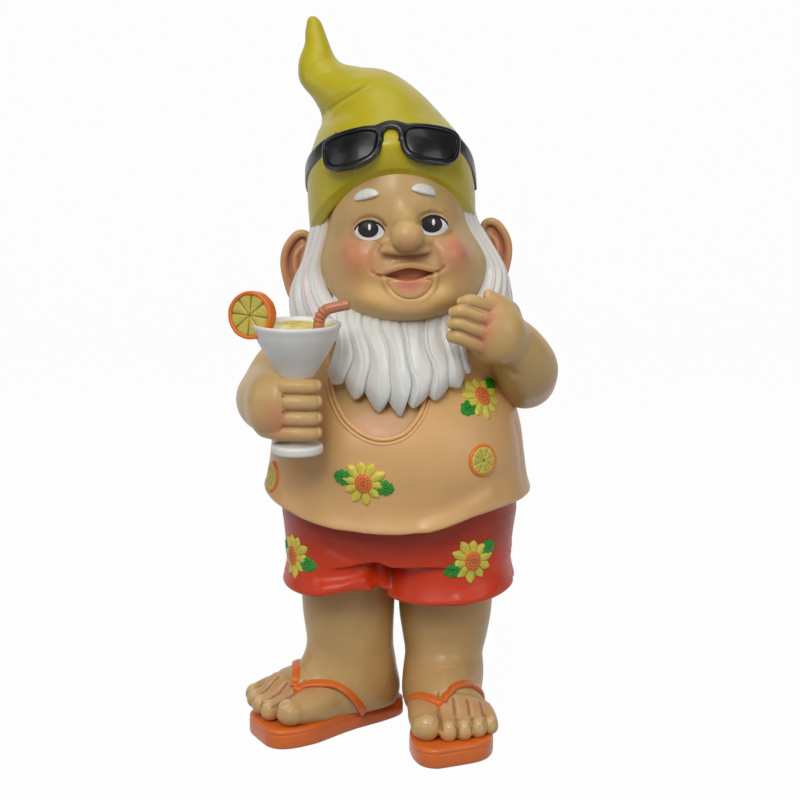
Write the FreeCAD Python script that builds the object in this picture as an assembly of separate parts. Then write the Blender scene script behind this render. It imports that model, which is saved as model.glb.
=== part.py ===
"""Garden gnome in holiday dress: a hand-painted cast-resin figure, built as its separate sculpted pieces.

The figure stands on z = 0 and faces -Y; +X is to its own left. All sizes are millimetres. Levels are
stacked from the ground up (soles, legs, shorts, vest, head, hat), so a changed length carries what is
above it. Soft-looking forms are lofts through smooth rings; a piece that sits on another is cut by it,
so the two meet face to face. At the end the figure is moved so that z runs up the middle of its
footprint box.
"""

import FreeCAD, Part
import math
import os

V = FreeCAD.Vector
Turn = FreeCAD.Rotation

# --- driving sizes: levels -------------------------------------------------------------------------
SOLE_THICKNESS = 9.0
LEG_LENGTH = 76.0          # sole top to the hem of the shorts
SHORTS_LENGTH = 45.0       # hem of the shorts to the hem of the vest
VEST_LENGTH = 97.0         # hem of the vest to the shoulder line
CHIN_RISE = 16.0           # shoulder line to the underside of the chin
FACE_HEIGHT = 78.0         # underside of the chin to the hat's front lip
HAT_HEIGHT = 79.0          # hat's front lip to the tip of the hat

# --- driving sizes: body ---------------------------------------------------------------------------
VEST_WIDTH = 136.0
VEST_DEPTH = 116.0
HEM_FLARE = 8.0            # how far the vest's hem stands out past its sides
SHORTS_WIDTH = 130.0
SHORTS_DEPTH = 100.0
HEM_DROP = 3.0             # the figure's left trouser hem hangs this much lower
LEG_DIAMETER = 53.0
LEG_GAP = 2.5              # between the two legs at the hem of the shorts
HEAD_WIDTH = 92.0
HEAD_DEPTH = 99.0
EYE_SPREAD = 33.8          # between the middles of the eyes
MOUTH_WIDTH = 34.0
ARM_DIAMETER = 33.0
FINGER_DIAMETER = 8.4

# --- driving sizes: dress and props ----------------------------------------------------------------
SOLE_LENGTH = 93.0
SOLE_WIDTH = 45.0
STRAP_WIDTH = 5.2
STRAP_RELIEF = 1.8
TOE_OUT_RIGHT = 55.0       # degrees the right foot is turned out
TOE_OUT_LEFT = 6.0
RIM_DIAMETER = 46.4
BOWL_HEIGHT = 40.0
STEM_DIAMETER = 8.0
GLASS_FOOT_DIAMETER = 27.0
GLASS_WALL = 2.2
DRINK_BELOW_RIM = 2.0
STRAW_DIAMETER = 5.6
STRAW_BORE = 3.4
SLICE_DIAMETER = 25.0
SLICE_THICKNESS = 6.5
NECKLINE_DEPTH = 2.0       # skin below the vest's surface
BINDING_WIDTH = 2.6
BINDING_RELIEF = 0.9
MOTIF_RELIEF = 1.8
PETALS = 10
PETAL_TIP = 10.4           # middle of a flower to the point of a petal
PETAL_ROOT = 7.2
CENTRE_RADIUS = 4.4
LEAF_LENGTH = 8.5
LEAF_WIDTH = 6.0
CITRUS_RADIUS = 7.4
CITRUS_FLESH = 5.9
LOCKS = 9                  # locks across the beard
BEARD_HALF = 38.0
BEARD_DROP = 49.0          # underside of the chin to the lowest tip
LENS_HEIGHT = 19.0
LENS_WIDTH = 29.0
BRIDGE_WIDTH = 14.0
FRAME_RIM = 2.6
FRAME_BACKING = 10.0       # depth of the moulded frame before the hat cuts it
FRAME_CURVE = 50.0         # radius of the wrap of the frame round the hat
GLASSES_PITCH = 31.0       # degrees the glasses lean back

# --- worked-out levels and places ------------------------------------------------------------------
SOLE_TOP = SOLE_THICKNESS
SHORTS_HEM = SOLE_TOP + LEG_LENGTH
VEST_HEM = SHORTS_HEM + SHORTS_LENGTH
SHOULDER = VEST_HEM + VEST_LENGTH
CHIN = SHOULDER + CHIN_RISE
HAT_LIP = CHIN + FACE_HEIGHT
BODY_Y = -9.0              # the trunk's axis lies this far in front of the ankles
HEAD_AT = V(2.5, -8.0, 0)
HEAD_LEAN = 5.0            # degrees the head leans to the figure's right
HEAD_TURN = 5.5            # degrees the face is turned to the figure's left
LEG_X = (LEG_DIAMETER + LEG_GAP) / 2
# motifs: (degrees from the front, share of the garment's length above its hem, degrees of spin)
VEST_FLOWERS = ((-15, 0.29, -20), (48, 0.72, 55), (164, 0.50, 20))
VEST_CITRUS = ((43, 0.385), (-84, 0.19), (-140, 0.40))
SHORTS_FLOWERS_RIGHT = ((-38, 0.52, 60),)
SHORTS_FLOWERS_LEFT = ((10, 0.54, -35), (160, 0.5, 20))
RING_POINTS = 12           # knots of a body ring
LIMB_POINTS = 8            # knots of a limb, finger or lock of hair
FAR = 200.0                # reaches past the figure in any cutting tool


# --- shape helpers ---------------------------------------------------------------------------------
def ring(centre, half_a, half_b, turn=Turn(), square=2.0, knots=RING_POINTS):
    """Closed smooth ring: a superellipse drawn in the XY plane, turned, then moved to its centre."""
    points = []
    for i in range(knots):
        angle = 2 * math.pi * i / knots
        c, s = math.cos(angle), math.sin(angle)
        x = half_a * math.copysign(abs(c) ** (2 / square), c)
        y = half_b * math.copysign(abs(s) ** (2 / square), s)
        points.append(centre + turn.multVec(V(x, y, 0)))
    curve = Part.BSplineCurve()
    curve.interpolate(points, PeriodicFlag=True)
    return Part.Wire(curve.toShape())


def loft(rings):
    return Part.makeLoft(rings, True, False)


def stack(sections, grow=0.0):
    """Loft through level rings given as (z, x, y, half width, half depth)."""
    return loft([ring(V(x, y, z), a + grow, b + grow) for z, x, y, a, b in sections])


def tube(points, radii, dome_start=True, dome_end=True):
    """Swept limb of changing radius with rounded ends."""
    points = [V(*p) for p in points]
    last = len(points) - 1
    heading = [(points[min(i + 1, last)] - points[max(i - 1, 0)]).normalize() for i in range(last + 1)]
    rings = []
    for i, (point, radius) in enumerate(zip(points, radii)):
        turn = Turn(V(0, 0, 1), heading[i])
        caps = []
        if i == 0 and dome_start:
            caps = [(-0.93, 0.36), (-0.7, 0.71)]
        if i == last and dome_end:
            caps = [(0.7, 0.71), (0.93, 0.36)]
        own = [(0.0, 1.0)]
        steps = caps + own if i == 0 else own + caps
        for along, across in steps:
            centre = point + heading[i] * (radius * along)
            rings.append(ring(centre, radius * across, radius * across, turn, 2.0, LIMB_POINTS))
    return loft(rings)


def ellipsoid(centre, radii, turn=Turn()):
    """Ball stretched to three radii, its pole towards the front, turned, then moved to its centre."""
    size = FreeCAD.Matrix()
    size.scale(*radii)
    solid = Part.makeSphere(1.0, V(0, 0, 0), V(0, -1, 0)).transformGeometry(size)
    solid.Placement = FreeCAD.Placement(centre, turn)
    return solid


def spheroid(centre, half_length, radius, turn=Turn()):
    """Long round ball: half an ellipse spun about its own length, which lies along X before the turn."""
    arc = Part.Ellipse(V(0, 0, 0), half_length, radius).toShape(0, math.pi)
    base = Part.makeLine(V(-half_length, 0, 0), V(half_length, 0, 0))
    solid = Part.Face(Part.Wire([arc, base])).revolve(V(0, 0, 0), V(1, 0, 0), 360)
    solid.Placement = FreeCAD.Placement(centre, turn)
    return solid


def spline_face(points):
    """Flat face inside a smooth closed curve through the points."""
    curve = Part.BSplineCurve()
    curve.interpolate([V(*p) for p in points], PeriodicFlag=True)
    return Part.Face(Part.Wire(curve.toShape()))


def polygon_face(points):
    points = [V(*p) for p in points]
    return Part.Face(Part.makePolygon(points + [points[0]]))


def mirror_x(shape):
    return shape.mirror(V(0, 0, 0), V(1, 0, 0))


def placed(shape, place):
    moved = shape.copy()
    moved.Placement = place.multiply(moved.Placement)
    return moved


def box(x0, x1, y0, y1, z0, z1):
    return Part.makeBox(x1 - x0, y1 - y0, z1 - z0, V(x0, y0, z0))


def largest(shape, count=1):
    """The biggest solids of a shape, without the shavings that a cut can leave beside them."""
    solids = sorted(shape.Solids, key=lambda s: -s.Volume)[:count]
    return solids[0] if len(solids) == 1 else Part.makeCompound(solids)


def half_space(point, normal):
    """Large block on the side of a plane that its normal points to."""
    block = box(-3 * FAR, 3 * FAR, -3 * FAR, 3 * FAR, 0, 3 * FAR)
    block.Placement = FreeCAD.Placement(point, Turn(V(0, 0, 1), normal))
    return block


# --- feet and sandals, drawn for the right foot with its heel end at the origin and toes towards -Y -
def sole_outline(z, grow=0.0):
    """Footbed outline: round heel, waist at the arch, slanted toe end with the big toe longest."""
    half = SOLE_WIDTH / 2 + grow
    length = SOLE_LENGTH
    heel = half * 0.7
    return spline_face([
        (0, grow, z),
        (heel, -0.15 * length, z),
        (heel * 0.93, -0.42 * length, z),
        (half * 0.93, -0.76 * length, z),
        (half * 0.62, -0.965 * length - grow, z),
        (0, -length - grow, z),
        (-half * 0.75, -0.9 * length, z),
        (-half * 1.04, -0.7 * length, z),
        (-half * 0.82, -0.42 * length, z),
        (-heel, -0.15 * length, z),
    ])


def sole():
    solid = sole_outline(0).extrude(V(0, 0, SOLE_THICKNESS))
    edges = [e for e in solid.Edges if abs(e.BoundBox.ZLength) < 0.01]
    return solid.makeFillet(1.4, edges)


def foot(grow=0.0):
    """Heel, instep and ball of the foot as one loft along the sole, standing on the footbed."""
    half = SOLE_WIDTH / 2
    length = SOLE_LENGTH
    upright = Turn(V(1, 0, 0), 90)
    # (share of the sole's length, share of its half width, height above the footbed)
    stations = [(0.05, 0.40, 13), (0.13, 0.62, 24), (0.30, 0.74, 33), (0.48, 0.80, 29),
                (0.64, 0.87, 22), (0.77, 0.86, 16), (0.85, 0.66, 11)]
    rings = []
    for along, wide, high in stations:
        tall = 0.62 * high + grow
        centre = V(0, -along * length, SOLE_TOP + 0.38 * high)
        rings.append(ring(centre, wide * half + grow, tall, upright, 2.3))
    return loft(rings)


def toe_row():
    """Centre and radii of five toes in a slanted row, the big one on the inner side."""
    # (across the foot, along the sole, half width, half length, half height)
    row = [(0.50, 0.845, 7.6, 12.0, 7.4), (0.04, 0.870, 4.7, 9.5, 5.6), (-0.33, 0.850, 4.6, 9.5, 5.3),
           (-0.66, 0.815, 4.4, 9.0, 5.0), (-0.94, 0.765, 4.0, 8.0, 4.6)]
    return [(V(across * SOLE_WIDTH / 2, -along * SOLE_LENGTH, SOLE_TOP + high * 0.8), (wide, long, high))
            for across, along, wide, long, high in row]


def toes():
    return [ellipsoid(centre, radii) for centre, radii in toe_row()]


def toenails():
    """One thin nail let into the upper front of each toe."""
    nails = []
    for centre, (wide, long, high) in toe_row():
        at = centre + V(0, -0.62 * long, 0.66 * high)
        nails.append(ellipsoid(at, (0.60 * wide, 0.30 * long, 0.20 * high), Turn(V(1, 0, 0), 38)))
    return nails


def straps():
    """Toe-post thong: two curved bands from between the toes to the sides of the footbed."""
    half = SOLE_WIDTH / 2
    length = SOLE_LENGTH
    post = (0.24 * half, -0.79 * length)
    bands = []
    for side, reach in ((1, 0.34), (-1, 0.40)):
        tip = V(post[0], post[1], 0)
        knee = V(side * 0.62 * half, -0.58 * length, 0)
        end = V(side * 1.02 * half, -reach * length, 0)
        arc = Part.Arc(tip, knee, end).toShape()
        start_heading = arc.tangentAt(arc.FirstParameter)
        across = V(-start_heading.y, start_heading.x, 0) * (STRAP_WIDTH / 2)
        profile = Part.makePolygon([tip - across, tip + across, tip + across + V(0, 0, FAR),
                                    tip - across + V(0, 0, FAR), tip - across])
        bands.append(Part.Wire(arc).makePipeShell([profile], True, False))
    plan = bands[0].fuse(bands[1])
    knob = Part.makeCylinder(STRAP_WIDTH * 0.62, FAR, V(post[0], post[1], 0))
    shell = foot(STRAP_RELIEF).cut(foot())
    above = box(-FAR, FAR, -FAR, FAR, SOLE_TOP, FAR)
    return shell.common(plan.fuse(knob)).common(above)


def foot_place(side):
    """Where each foot stands: side -1 is the figure's right, +1 its left."""
    if side < 0:
        return FreeCAD.Placement(V(-3.0, 22.0, 0), Turn(V(0, 0, 1), -TOE_OUT_RIGHT))
    return FreeCAD.Placement(V(LEG_X - 5.5, 24.0, 0), Turn(V(0, 0, 1), TOE_OUT_LEFT))


def for_side(shape, side):
    """The right foot's pieces mirrored if needed, then set down where that foot stands."""
    return placed(mirror_x(shape) if side > 0 else shape, foot_place(side))


def leg(side):
    """Calf and ankle as a stack of rings; the lower end is buried in the foot."""
    r = LEG_DIAMETER / 2
    ankle = foot_place(side).multVec(V(0, -0.27 * SOLE_LENGTH, 0))
    top = V(side * LEG_X, 0, 0)
    sections = []
    # (share of the leg's length, share of the calf's radius, share of the way from ankle to knee)
    for up, swell, way in ((0.03, 0.70, 0.0), (0.20, 0.80, 0.1), (0.42, 0.87, 0.35), (0.66, 0.97, 0.7),
                           (0.90, 1.0, 0.95), (1.20, 1.0, 1.0)):
        at = ankle + (top - ankle) * way
        sections.append((SOLE_TOP + up * LEG_LENGTH, at.x, at.y, r * swell, r * swell * 1.02))
    return stack(sections)


def skin_leg(side):
    """Leg, foot and toes of one side as one casting, flat where it stands on the footbed."""
    footing = for_side(foot(), side)
    solid = leg(side).fuse([footing] + [for_side(t, side) for t in toes()])
    return solid.common(box(-FAR, FAR, -FAR, FAR, SOLE_TOP, FAR * 2))


# --- trunk -----------------------------------------------------------------------------------------
def vest_sections():
    """Rings of the vest from its flared hem over the belly to the shoulders."""
    w, d = VEST_WIDTH / 2, VEST_DEPTH / 2
    rise = VEST_LENGTH
    # (share of the length, share of the width plus flare, share of the depth plus flare)
    shape = [(-0.03, 1.0, 0.62, 1.0), (0.02, 1.0, 1.0, 1.0), (0.06, 1.0, 0.85, 1.0), (0.16, 1.0, 0.42, 1.0),
             (0.30, 1.0, 0.14, 1.02), (0.46, 0.99, 0.0, 1.0), (0.62, 0.955, 0.0, 0.94),
             (0.78, 0.89, 0.0, 0.83), (0.90, 0.79, 0.0, 0.68), (1.0, 0.62, 0.0, 0.5)]
    sections = []
    for up, wide, flare, deep in shape:
        out = HEM_FLARE * flare
        sections.append((VEST_HEM + up * rise, 0, BODY_Y, w * wide + out, d * deep + out * 0.5))
    return sections


def vest_outer(grow=0.0):
    return stack(vest_sections(), grow)


def ring_at(sections, z):
    """Centre and half sizes of a stack at a level, read between its two nearest rings."""
    for low, high in zip(sections, sections[1:]):
        if low[0] <= z <= high[0]:
            t = (z - low[0]) / (high[0] - low[0])
            return [a + (b - a) * t for a, b in zip(low, high)]
    raise ValueError("level is outside the stack")


def neckline(grow=0.0):
    """U-shaped opening of the vest seen from the front, as a tool running through the chest."""
    half = 0.26 * VEST_WIDTH + grow
    bottom = VEST_HEM + 0.45 * VEST_LENGTH - grow
    top = SHOULDER + FAR
    bend = bottom + half
    left = V(-half, 0, bend)
    right = V(half, 0, bend)
    low = V(0, 0, bottom)
    edges = [Part.Arc(left, low, right).toShape(),
             Part.makeLine(right, V(half * 1.15, 0, top)),
             Part.makeLine(V(half * 1.15, 0, top), V(-half * 1.15, 0, top)),
             Part.makeLine(V(-half * 1.15, 0, top), left)]
    face = Part.Face(Part.Wire(edges))
    face.translate(V(0, -FAR, 0))
    return face.extrude(V(0, FAR + BODY_Y - 0.2 * VEST_DEPTH, 0))


def hip_sections():
    """Rings of the seat of the shorts; the lowest ones lie inside the two trouser legs."""
    w, d = SHORTS_WIDTH / 2, SHORTS_DEPTH / 2
    shape = [(0.26, 0.80, 0.80), (0.42, 0.93, 0.92), (0.62, 0.985, 0.98), (0.84, 1.0, 1.0), (1.06, 0.99, 1.0)]
    return [(SHORTS_HEM + up * SHORTS_LENGTH, 0, BODY_Y + 3, w * wide, d * deep) for up, wide, deep in shape]


def trouser_leg(side, grow=0.0):
    """One leg of the shorts, flaring to its hem; the figure's left hem hangs a little lower."""
    w, d = SHORTS_WIDTH / 4, SHORTS_DEPTH / 2
    x = side * w
    hem = SHORTS_HEM - (HEM_DROP if side > 0 else 0.0)
    shape = [(-0.03, 0.98, 0.86), (0.03, 1.05, 0.93), (0.14, 1.06, 0.95), (0.38, 1.0, 0.93), (0.66, 0.95, 0.92)]
    return stack([(hem + up * SHORTS_LENGTH, x, BODY_Y + 3.5, w * wide, d * deep) for up, wide, deep in shape], grow)


def shorts_outer(grow=0.0):
    return stack(hip_sections(), grow).fuse([trouser_leg(-1, grow), trouser_leg(1, grow)])


def trouser_rows(side):
    """Rings that follow one trouser leg's front, for placing motifs on it."""
    x = side * SHORTS_WIDTH / 4
    half, deep = SHORTS_WIDTH / 4, SHORTS_DEPTH / 2
    return [(SHORTS_HEM + up * SHORTS_LENGTH, x, BODY_Y + 3, half, deep * share) for up, share in ((0.2, 0.95), (1.0, 0.99))]


# --- applied motifs --------------------------------------------------------------------------------
def star(radius, inner, count):
    points = []
    for i in range(2 * count):
        r = radius if i % 2 == 0 else inner
        a = math.pi * i / count
        points.append((r * math.sin(a), 0, r * math.cos(a)))
    return polygon_face(points)


def leaf(length, width, start):
    """Pointed leaf lying along +X from its start."""
    base, tip = V(start, 0, 0), V(start + length, 0, 0)
    upper = Part.Arc(base, V(start + length * 0.45, 0, width / 2), tip).toShape()
    lower = Part.Arc(tip, V(start + length * 0.45, 0, -width / 2), base).toShape()
    return Part.Face(Part.Wire([upper, lower]))


def motif_place(sections, bearing, z):
    """Point on a stack's surface at a bearing (0 is the front, positive towards the figure's left)."""
    _, x, y, a, b = ring_at(sections, z)
    t = math.radians(bearing)
    point = V(x + a * math.sin(t), y - b * math.cos(t), z)
    normal = V(math.sin(t) / a, -math.cos(t) / b, 0).normalize()
    turn = math.degrees(math.atan2(normal.x, -normal.y))
    return FreeCAD.Placement(point, Turn(V(0, 0, 1), turn))


def pressed(face, place, spin, body, grown):
    """A flat outline pushed through a body's surface: only the skin that stands proud of it is kept."""
    tool = face.copy()
    tool.rotate(V(0, 0, 0), V(0, 1, 0), spin)
    tool.translate(V(0, -14, 0))
    tool = placed(tool.extrude(V(0, 28, 0)), place)
    return largest(tool.common(grown).cut(body))


def disc(radius):
    return Part.Face(Part.Wire(Part.makeCircle(radius, V(0, 0, 0), V(0, 1, 0))))


def flowers(rows, spots, body, grown, higher):
    """Flowers on a garment: petal rosettes, seeded centres and pairs of leaves, as three groups of pieces."""
    petals, centres, leaves = [], [], []
    rosette = star(PETAL_TIP, PETAL_ROOT, PETALS)
    for bearing, z, spin in spots:
        place = motif_place(rows, bearing, z)
        petals.append(pressed(rosette.cut(disc(CENTRE_RADIUS)), place, spin, body, grown))
        centres.append(pressed(disc(CENTRE_RADIUS), place, spin, body, higher))
        for flip in (0, 180):
            blade = leaf(LEAF_LENGTH, LEAF_WIDTH, PETAL_ROOT).cut(rosette.copy().rotate(V(0, 0, 0), V(0, 1, 0), -flip))
            leaves.append(pressed(blade, place, spin + flip, body, grown))
    return petals, centres, leaves


def citrus_slices(rows, spots, body, grown, higher):
    """Round slices on a garment: rind rings around slightly lower flesh discs."""
    rinds, flesh = [], []
    for bearing, z in spots:
        place = motif_place(rows, bearing, z)
        rinds.append(pressed(disc(CITRUS_RADIUS).cut(disc(CITRUS_FLESH)), place, 0, body, higher))
        flesh.append(pressed(disc(CITRUS_FLESH), place, 0, body, grown))
    return rinds, flesh


# --- head ------------------------------------------------------------------------------------------
def head_frame(shape):
    """Turns a piece of the head to the figure's left and leans it about the chin to its right."""
    moved = shape.copy()
    chin = V(HEAD_AT.x, HEAD_AT.y, CHIN)
    moved.rotate(chin, V(0, 0, 1), HEAD_TURN)
    moved.rotate(chin, V(0, 1, 0), -HEAD_LEAN)
    return moved


def skull():
    """Full-cheeked head: wide at the jowls, narrower at the temples, domed inside the hat."""
    w, d, h = HEAD_WIDTH / 2, HEAD_DEPTH / 2, FACE_HEIGHT
    x, y = HEAD_AT.x, HEAD_AT.y
    shape = [(0.0, 0.30, 0.34), (0.05, 0.55, 0.60), (0.14, 0.79, 0.84), (0.26, 0.95, 0.96), (0.38, 1.0, 1.0),
             (0.52, 0.975, 0.97), (0.70, 0.92, 0.93), (0.90, 0.92, 0.92), (1.08, 0.84, 0.84),
             (1.22, 0.64, 0.64), (1.30, 0.36, 0.36)]
    return head_frame(stack([(CHIN + h * up, x, y, w * a, d * b) for up, a, b in shape]))


def face_point(across, up):
    """Point on the front of the skull, by distance from the middle line and share of the face's height."""
    w, d = HEAD_WIDTH / 2 * 0.95, HEAD_DEPTH / 2 * 0.95
    return V(HEAD_AT.x + across, HEAD_AT.y - d * math.sqrt(1 - (across / w) ** 2), CHIN + up * FACE_HEIGHT)


def nose():
    return head_frame(ellipsoid(face_point(0, 0.575) + V(0, -3.5, 0), (8.8, 9.5, 9.6)))


def ear(side):
    """Large round ear set on the side of the head, its bowl open to the front."""
    at = V(HEAD_AT.x + side * (HEAD_WIDTH / 2 + 8.5), HEAD_AT.y + 14, CHIN + 0.34 * FACE_HEIGHT)
    turn = Turn(V(0, 0, 1), -side * 28).multiply(Turn(V(0, 1, 0), side * 8))
    outer = ellipsoid(at, (12.0, 6.5, 20.0), turn)
    bowl = ellipsoid(at + turn.multVec(V(side * 1.0, -6.0, 1.0)), (7.6, 4.2, 14.5), turn)
    return head_frame(outer.cut(bowl))


def eye_place(side):
    """Middle of one eye and the turn that makes it look the way the face curves there."""
    return face_point(side * EYE_SPREAD / 2, 0.615), Turn(V(0, 0, 1), side * 20)


def eye(side):
    """Almond white of the eye, a shallow dome on the face."""
    at, turn = eye_place(side)
    return head_frame(ellipsoid(at + turn.multVec(V(0, 0.6, 0)), (7.4, 2.6, 6.4), turn))


def pupil(side):
    at, turn = eye_place(side)
    return head_frame(ellipsoid(at + turn.multVec(V(-side * 0.6, -1.2, 1.0)), (4.9, 1.3, 5.1), turn))


def eyebrow(side):
    at, turn = eye_place(side)
    tilt = turn.multiply(Turn(V(0, 1, 0), side * 8))
    return head_frame(ellipsoid(at + V(0, 0.6, 17.5), (7.6, 3.4, 3.2), tilt))


def lips():
    """Raised upper lip: two full halves that meet under the nose, their corners turned up in a smile."""
    halves = []
    for side in (-1, 1):
        turn = Turn(V(0, 0, 1), side * 12).multiply(Turn(V(0, 1, 0), -side * 7))
        halves.append(ellipsoid(face_point(side * 0.24 * MOUTH_WIDTH, 0.345), (0.29 * MOUTH_WIDTH, 4.4, 4.3), turn))
    return head_frame(halves[0].fuse(halves[1]))


def tongue():
    return head_frame(ellipsoid(face_point(0, 0.235) + V(0, 1.6, 0), (10.5, 4.2, 6.6)))


# --- hair and beard --------------------------------------------------------------------------------
def hair_outer():
    """Hair mass that leaves the hat, spreads in front of and behind the ears and rests on the shoulders."""
    w, d = HEAD_WIDTH / 2, HEAD_DEPTH / 2
    x, y = HEAD_AT.x, HEAD_AT.y + 5
    # (share of the face's height above the chin, share of the head's width, share of its depth)
    shape = [(-0.27, 1.02, 0.74), (-0.18, 1.24, 0.90), (0.0, 1.31, 1.0), (0.20, 1.22, 0.99), (0.40, 1.11, 0.91),
             (0.64, 0.98, 0.84)]
    return head_frame(stack([(CHIN + up * FACE_HEIGHT, x, y, w * wide, d * deep) for up, wide, deep in shape]))


def hair_partings():
    """Grooves that part the hair into falling locks around the sides and back."""
    w, d = HEAD_WIDTH / 2, HEAD_DEPTH / 2
    x, y = HEAD_AT.x, HEAD_AT.y + 5
    grooves = []
    for bearing in range(75, 286, 15):
        t = math.radians(bearing)
        c, s = math.sin(t), -math.cos(t)
        low = (x + 1.12 * w * c, y + 0.82 * d * s, CHIN - 0.27 * FACE_HEIGHT)
        middle = (x + 1.32 * w * c, y + 1.01 * d * s, CHIN)
        high = (x + 1.13 * w * c, y + 0.94 * d * s, CHIN + 0.40 * FACE_HEIGHT)
        grooves.append(head_frame(tube([low, middle, high], [3.2, 2.6, 1.6], False, False)))
    return grooves


def beard_core():
    """The mass behind the locks: it hugs the underside of the chin and fills down to the chest."""
    x, y = HEAD_AT.x - 1.5, BODY_Y - VEST_DEPTH / 2
    deep = 0.21 * VEST_DEPTH
    return stack([(CHIN - 0.62 * BEARD_DROP, x, y + 24, BEARD_HALF * 0.72, deep * 0.8),
                  (CHIN - 0.33 * BEARD_DROP, x, y + 27, BEARD_HALF * 0.95, deep),
                  (CHIN + 0.16 * BEARD_DROP, x, y + 32, BEARD_HALF * 0.94, deep * 1.05)])


def beard_lock(i):
    """One hanging lock: thick under the chin, swelling, then drawn to a point; the middle one is longest."""
    t = (i - (LOCKS - 1) / 2) / ((LOCKS - 1) / 2)
    x = HEAD_AT.x - 1.5 + t * (BEARD_HALF - 5)
    chest = BODY_Y - VEST_DEPTH / 2
    bow = t * t
    y_top = HEAD_AT.y - HEAD_DEPTH / 2 * (0.90 - 0.34 * bow)
    tip = CHIN - BEARD_DROP * (1 - 0.27 * bow)
    points = [(x * 0.95, y_top, CHIN + 4 + 6 * bow), (x, chest + 4.0 + 10 * bow, CHIN - 0.28 * BEARD_DROP),
              (x + t, chest + 3.0 + 10 * bow, CHIN - 0.61 * BEARD_DROP), (x + 0.5 * t, chest + 3.0 + 10 * bow, tip + 3)]
    swell = BEARD_HALF / LOCKS
    return tube(points, [swell, 1.35 * swell, 1.35 * swell, 0.36 * swell])


# --- hat -------------------------------------------------------------------------------------------
def hat_rings():
    """Soft cone: a tilted lip round the head, leaning right, folding over and curling up at its end."""
    w = HEAD_WIDTH / 2
    d = HEAD_DEPTH / 2
    lip = HAT_LIP
    up = HAT_HEIGHT
    x, y = HEAD_AT.x, HEAD_AT.y
    # (x from the head's axis, y, share of the hat's height, half width, half depth, pitch, roll)
    stations = [(-4.6, 2.0, -0.37, w * 1.045, d * 1.13, -25, -5), (-4.8, 1.4, -0.29, w * 1.065, d * 1.14, -24, -5),
                (-5.4, 1.0, -0.13, w * 1.03, d * 1.07, -20, -5), (-6.3, 2.0, 0.06, w * 0.94, d * 0.94, -12, -4),
                (-8.0, 4.0, 0.24, w * 0.78, d * 0.76, -6, -4), (-11.5, 6.0, 0.38, w * 0.62, d * 0.60, -2, -8),
                (-19.5, 9.0, 0.49, w * 0.46, d * 0.46, 0, -22), (-33.0, 12.0, 0.57, w * 0.34, d * 0.34, 0, -38),
                (-43.0, 14.0, 0.66, w * 0.27, d * 0.28, 0, -26), (-46.5, 15.0, 0.76, w * 0.225, d * 0.24, 0, -12),
                (-47.5, 15.5, 0.87, w * 0.155, d * 0.16, 0, 0), (-49.0, 16.0, 0.955, w * 0.09, d * 0.09, 0, 4),
                (-49.4, 16.0, 1.0, w * 0.035, d * 0.035, 0, 4)]
    rings = []
    for dx, dy, share, a, b, pitch, roll in stations:
        turn = Turn(V(0, 1, 0), roll).multiply(Turn(V(1, 0, 0), pitch))
        rings.append(ring(V(x + dx, y + dy, lip + share * up), a, b, turn))
    return rings


def hat_outer():
    return loft(hat_rings())


# --- sunglasses, drawn upright with the bridge at the origin and facing -Y ----------------------------
def glasses_place():
    """The glasses lean back with the hat's front and tip a little with the head."""
    turn = Turn(V(0, 1, 0), -4).multiply(Turn(V(1, 0, 0), -GLASSES_PITCH))
    return FreeCAD.Placement(V(HEAD_AT.x - 5.6, HEAD_AT.y - HEAD_DEPTH / 2 - 0.5, HAT_LIP + 0.155 * HAT_HEIGHT), turn)


def lens_outline(side, grow=0.0):
    """Softly squared lens: straight along the brow, round below."""
    cx = side * (LENS_WIDTH + BRIDGE_WIDTH) / 2
    w, h = LENS_WIDTH / 2 + grow, LENS_HEIGHT / 2 + grow
    return spline_face([(cx + side * x * w, 0, z * h) for x, z in (
        (-1, 0.35), (-0.72, 0.93), (0, 1.02), (0.80, 0.92), (1.02, 0.35), (0.75, -0.65), (0.1, -1), (-0.72, -0.62))])


def bridge_outline():
    """Arched bar between the lenses, running into both rims."""
    w, h = BRIDGE_WIDTH / 2 + FRAME_RIM, LENS_HEIGHT / 2
    top = [V(-w, 0, h * 0.95), V(0, 0, h * 1.15), V(w, 0, h * 0.95)]
    low = [V(w, 0, h * 0.30), V(0, 0, h * 0.70), V(-w, 0, h * 0.30)]
    edges = [Part.Arc(*top).toShape(), Part.makeLine(top[2], low[0]), Part.Arc(*low).toShape(),
             Part.makeLine(low[2], top[0])]
    return Part.Face(Part.Wire(edges))


def slab(front, thickness):
    """Upright curved sheet of one thickness that the fronts of the glasses are cut from."""
    axis = V(0, FRAME_CURVE, -FAR / 2)
    outer = Part.makeCylinder(FRAME_CURVE - front, FAR, axis)
    return outer.cut(Part.makeCylinder(FRAME_CURVE - front - thickness, FAR, axis))


def pushed(face):
    """A front-view outline as a bar that runs through the sheet."""
    tool = face.copy()
    tool.translate(V(0, -10, 0))
    return tool.extrude(V(0, 10 + 0.8 * FRAME_CURVE, 0))


def glasses_front():
    """Frame with its two openings and the lenses set slightly below its face, both thick enough to seat on the hat."""
    bars = [pushed(lens_outline(side, FRAME_RIM)) for side in (-1, 1)]
    openings = [pushed(lens_outline(side)) for side in (-1, 1)]
    frame = pushed(bridge_outline()).fuse(bars).cut(openings[0]).cut(openings[1]).common(slab(0, FRAME_BACKING))
    lenses = [opening.common(slab(0.8, FRAME_BACKING - 0.8)) for opening in openings]
    return placed(frame, glasses_place()), [placed(lens, glasses_place()) for lens in lenses]


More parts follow.
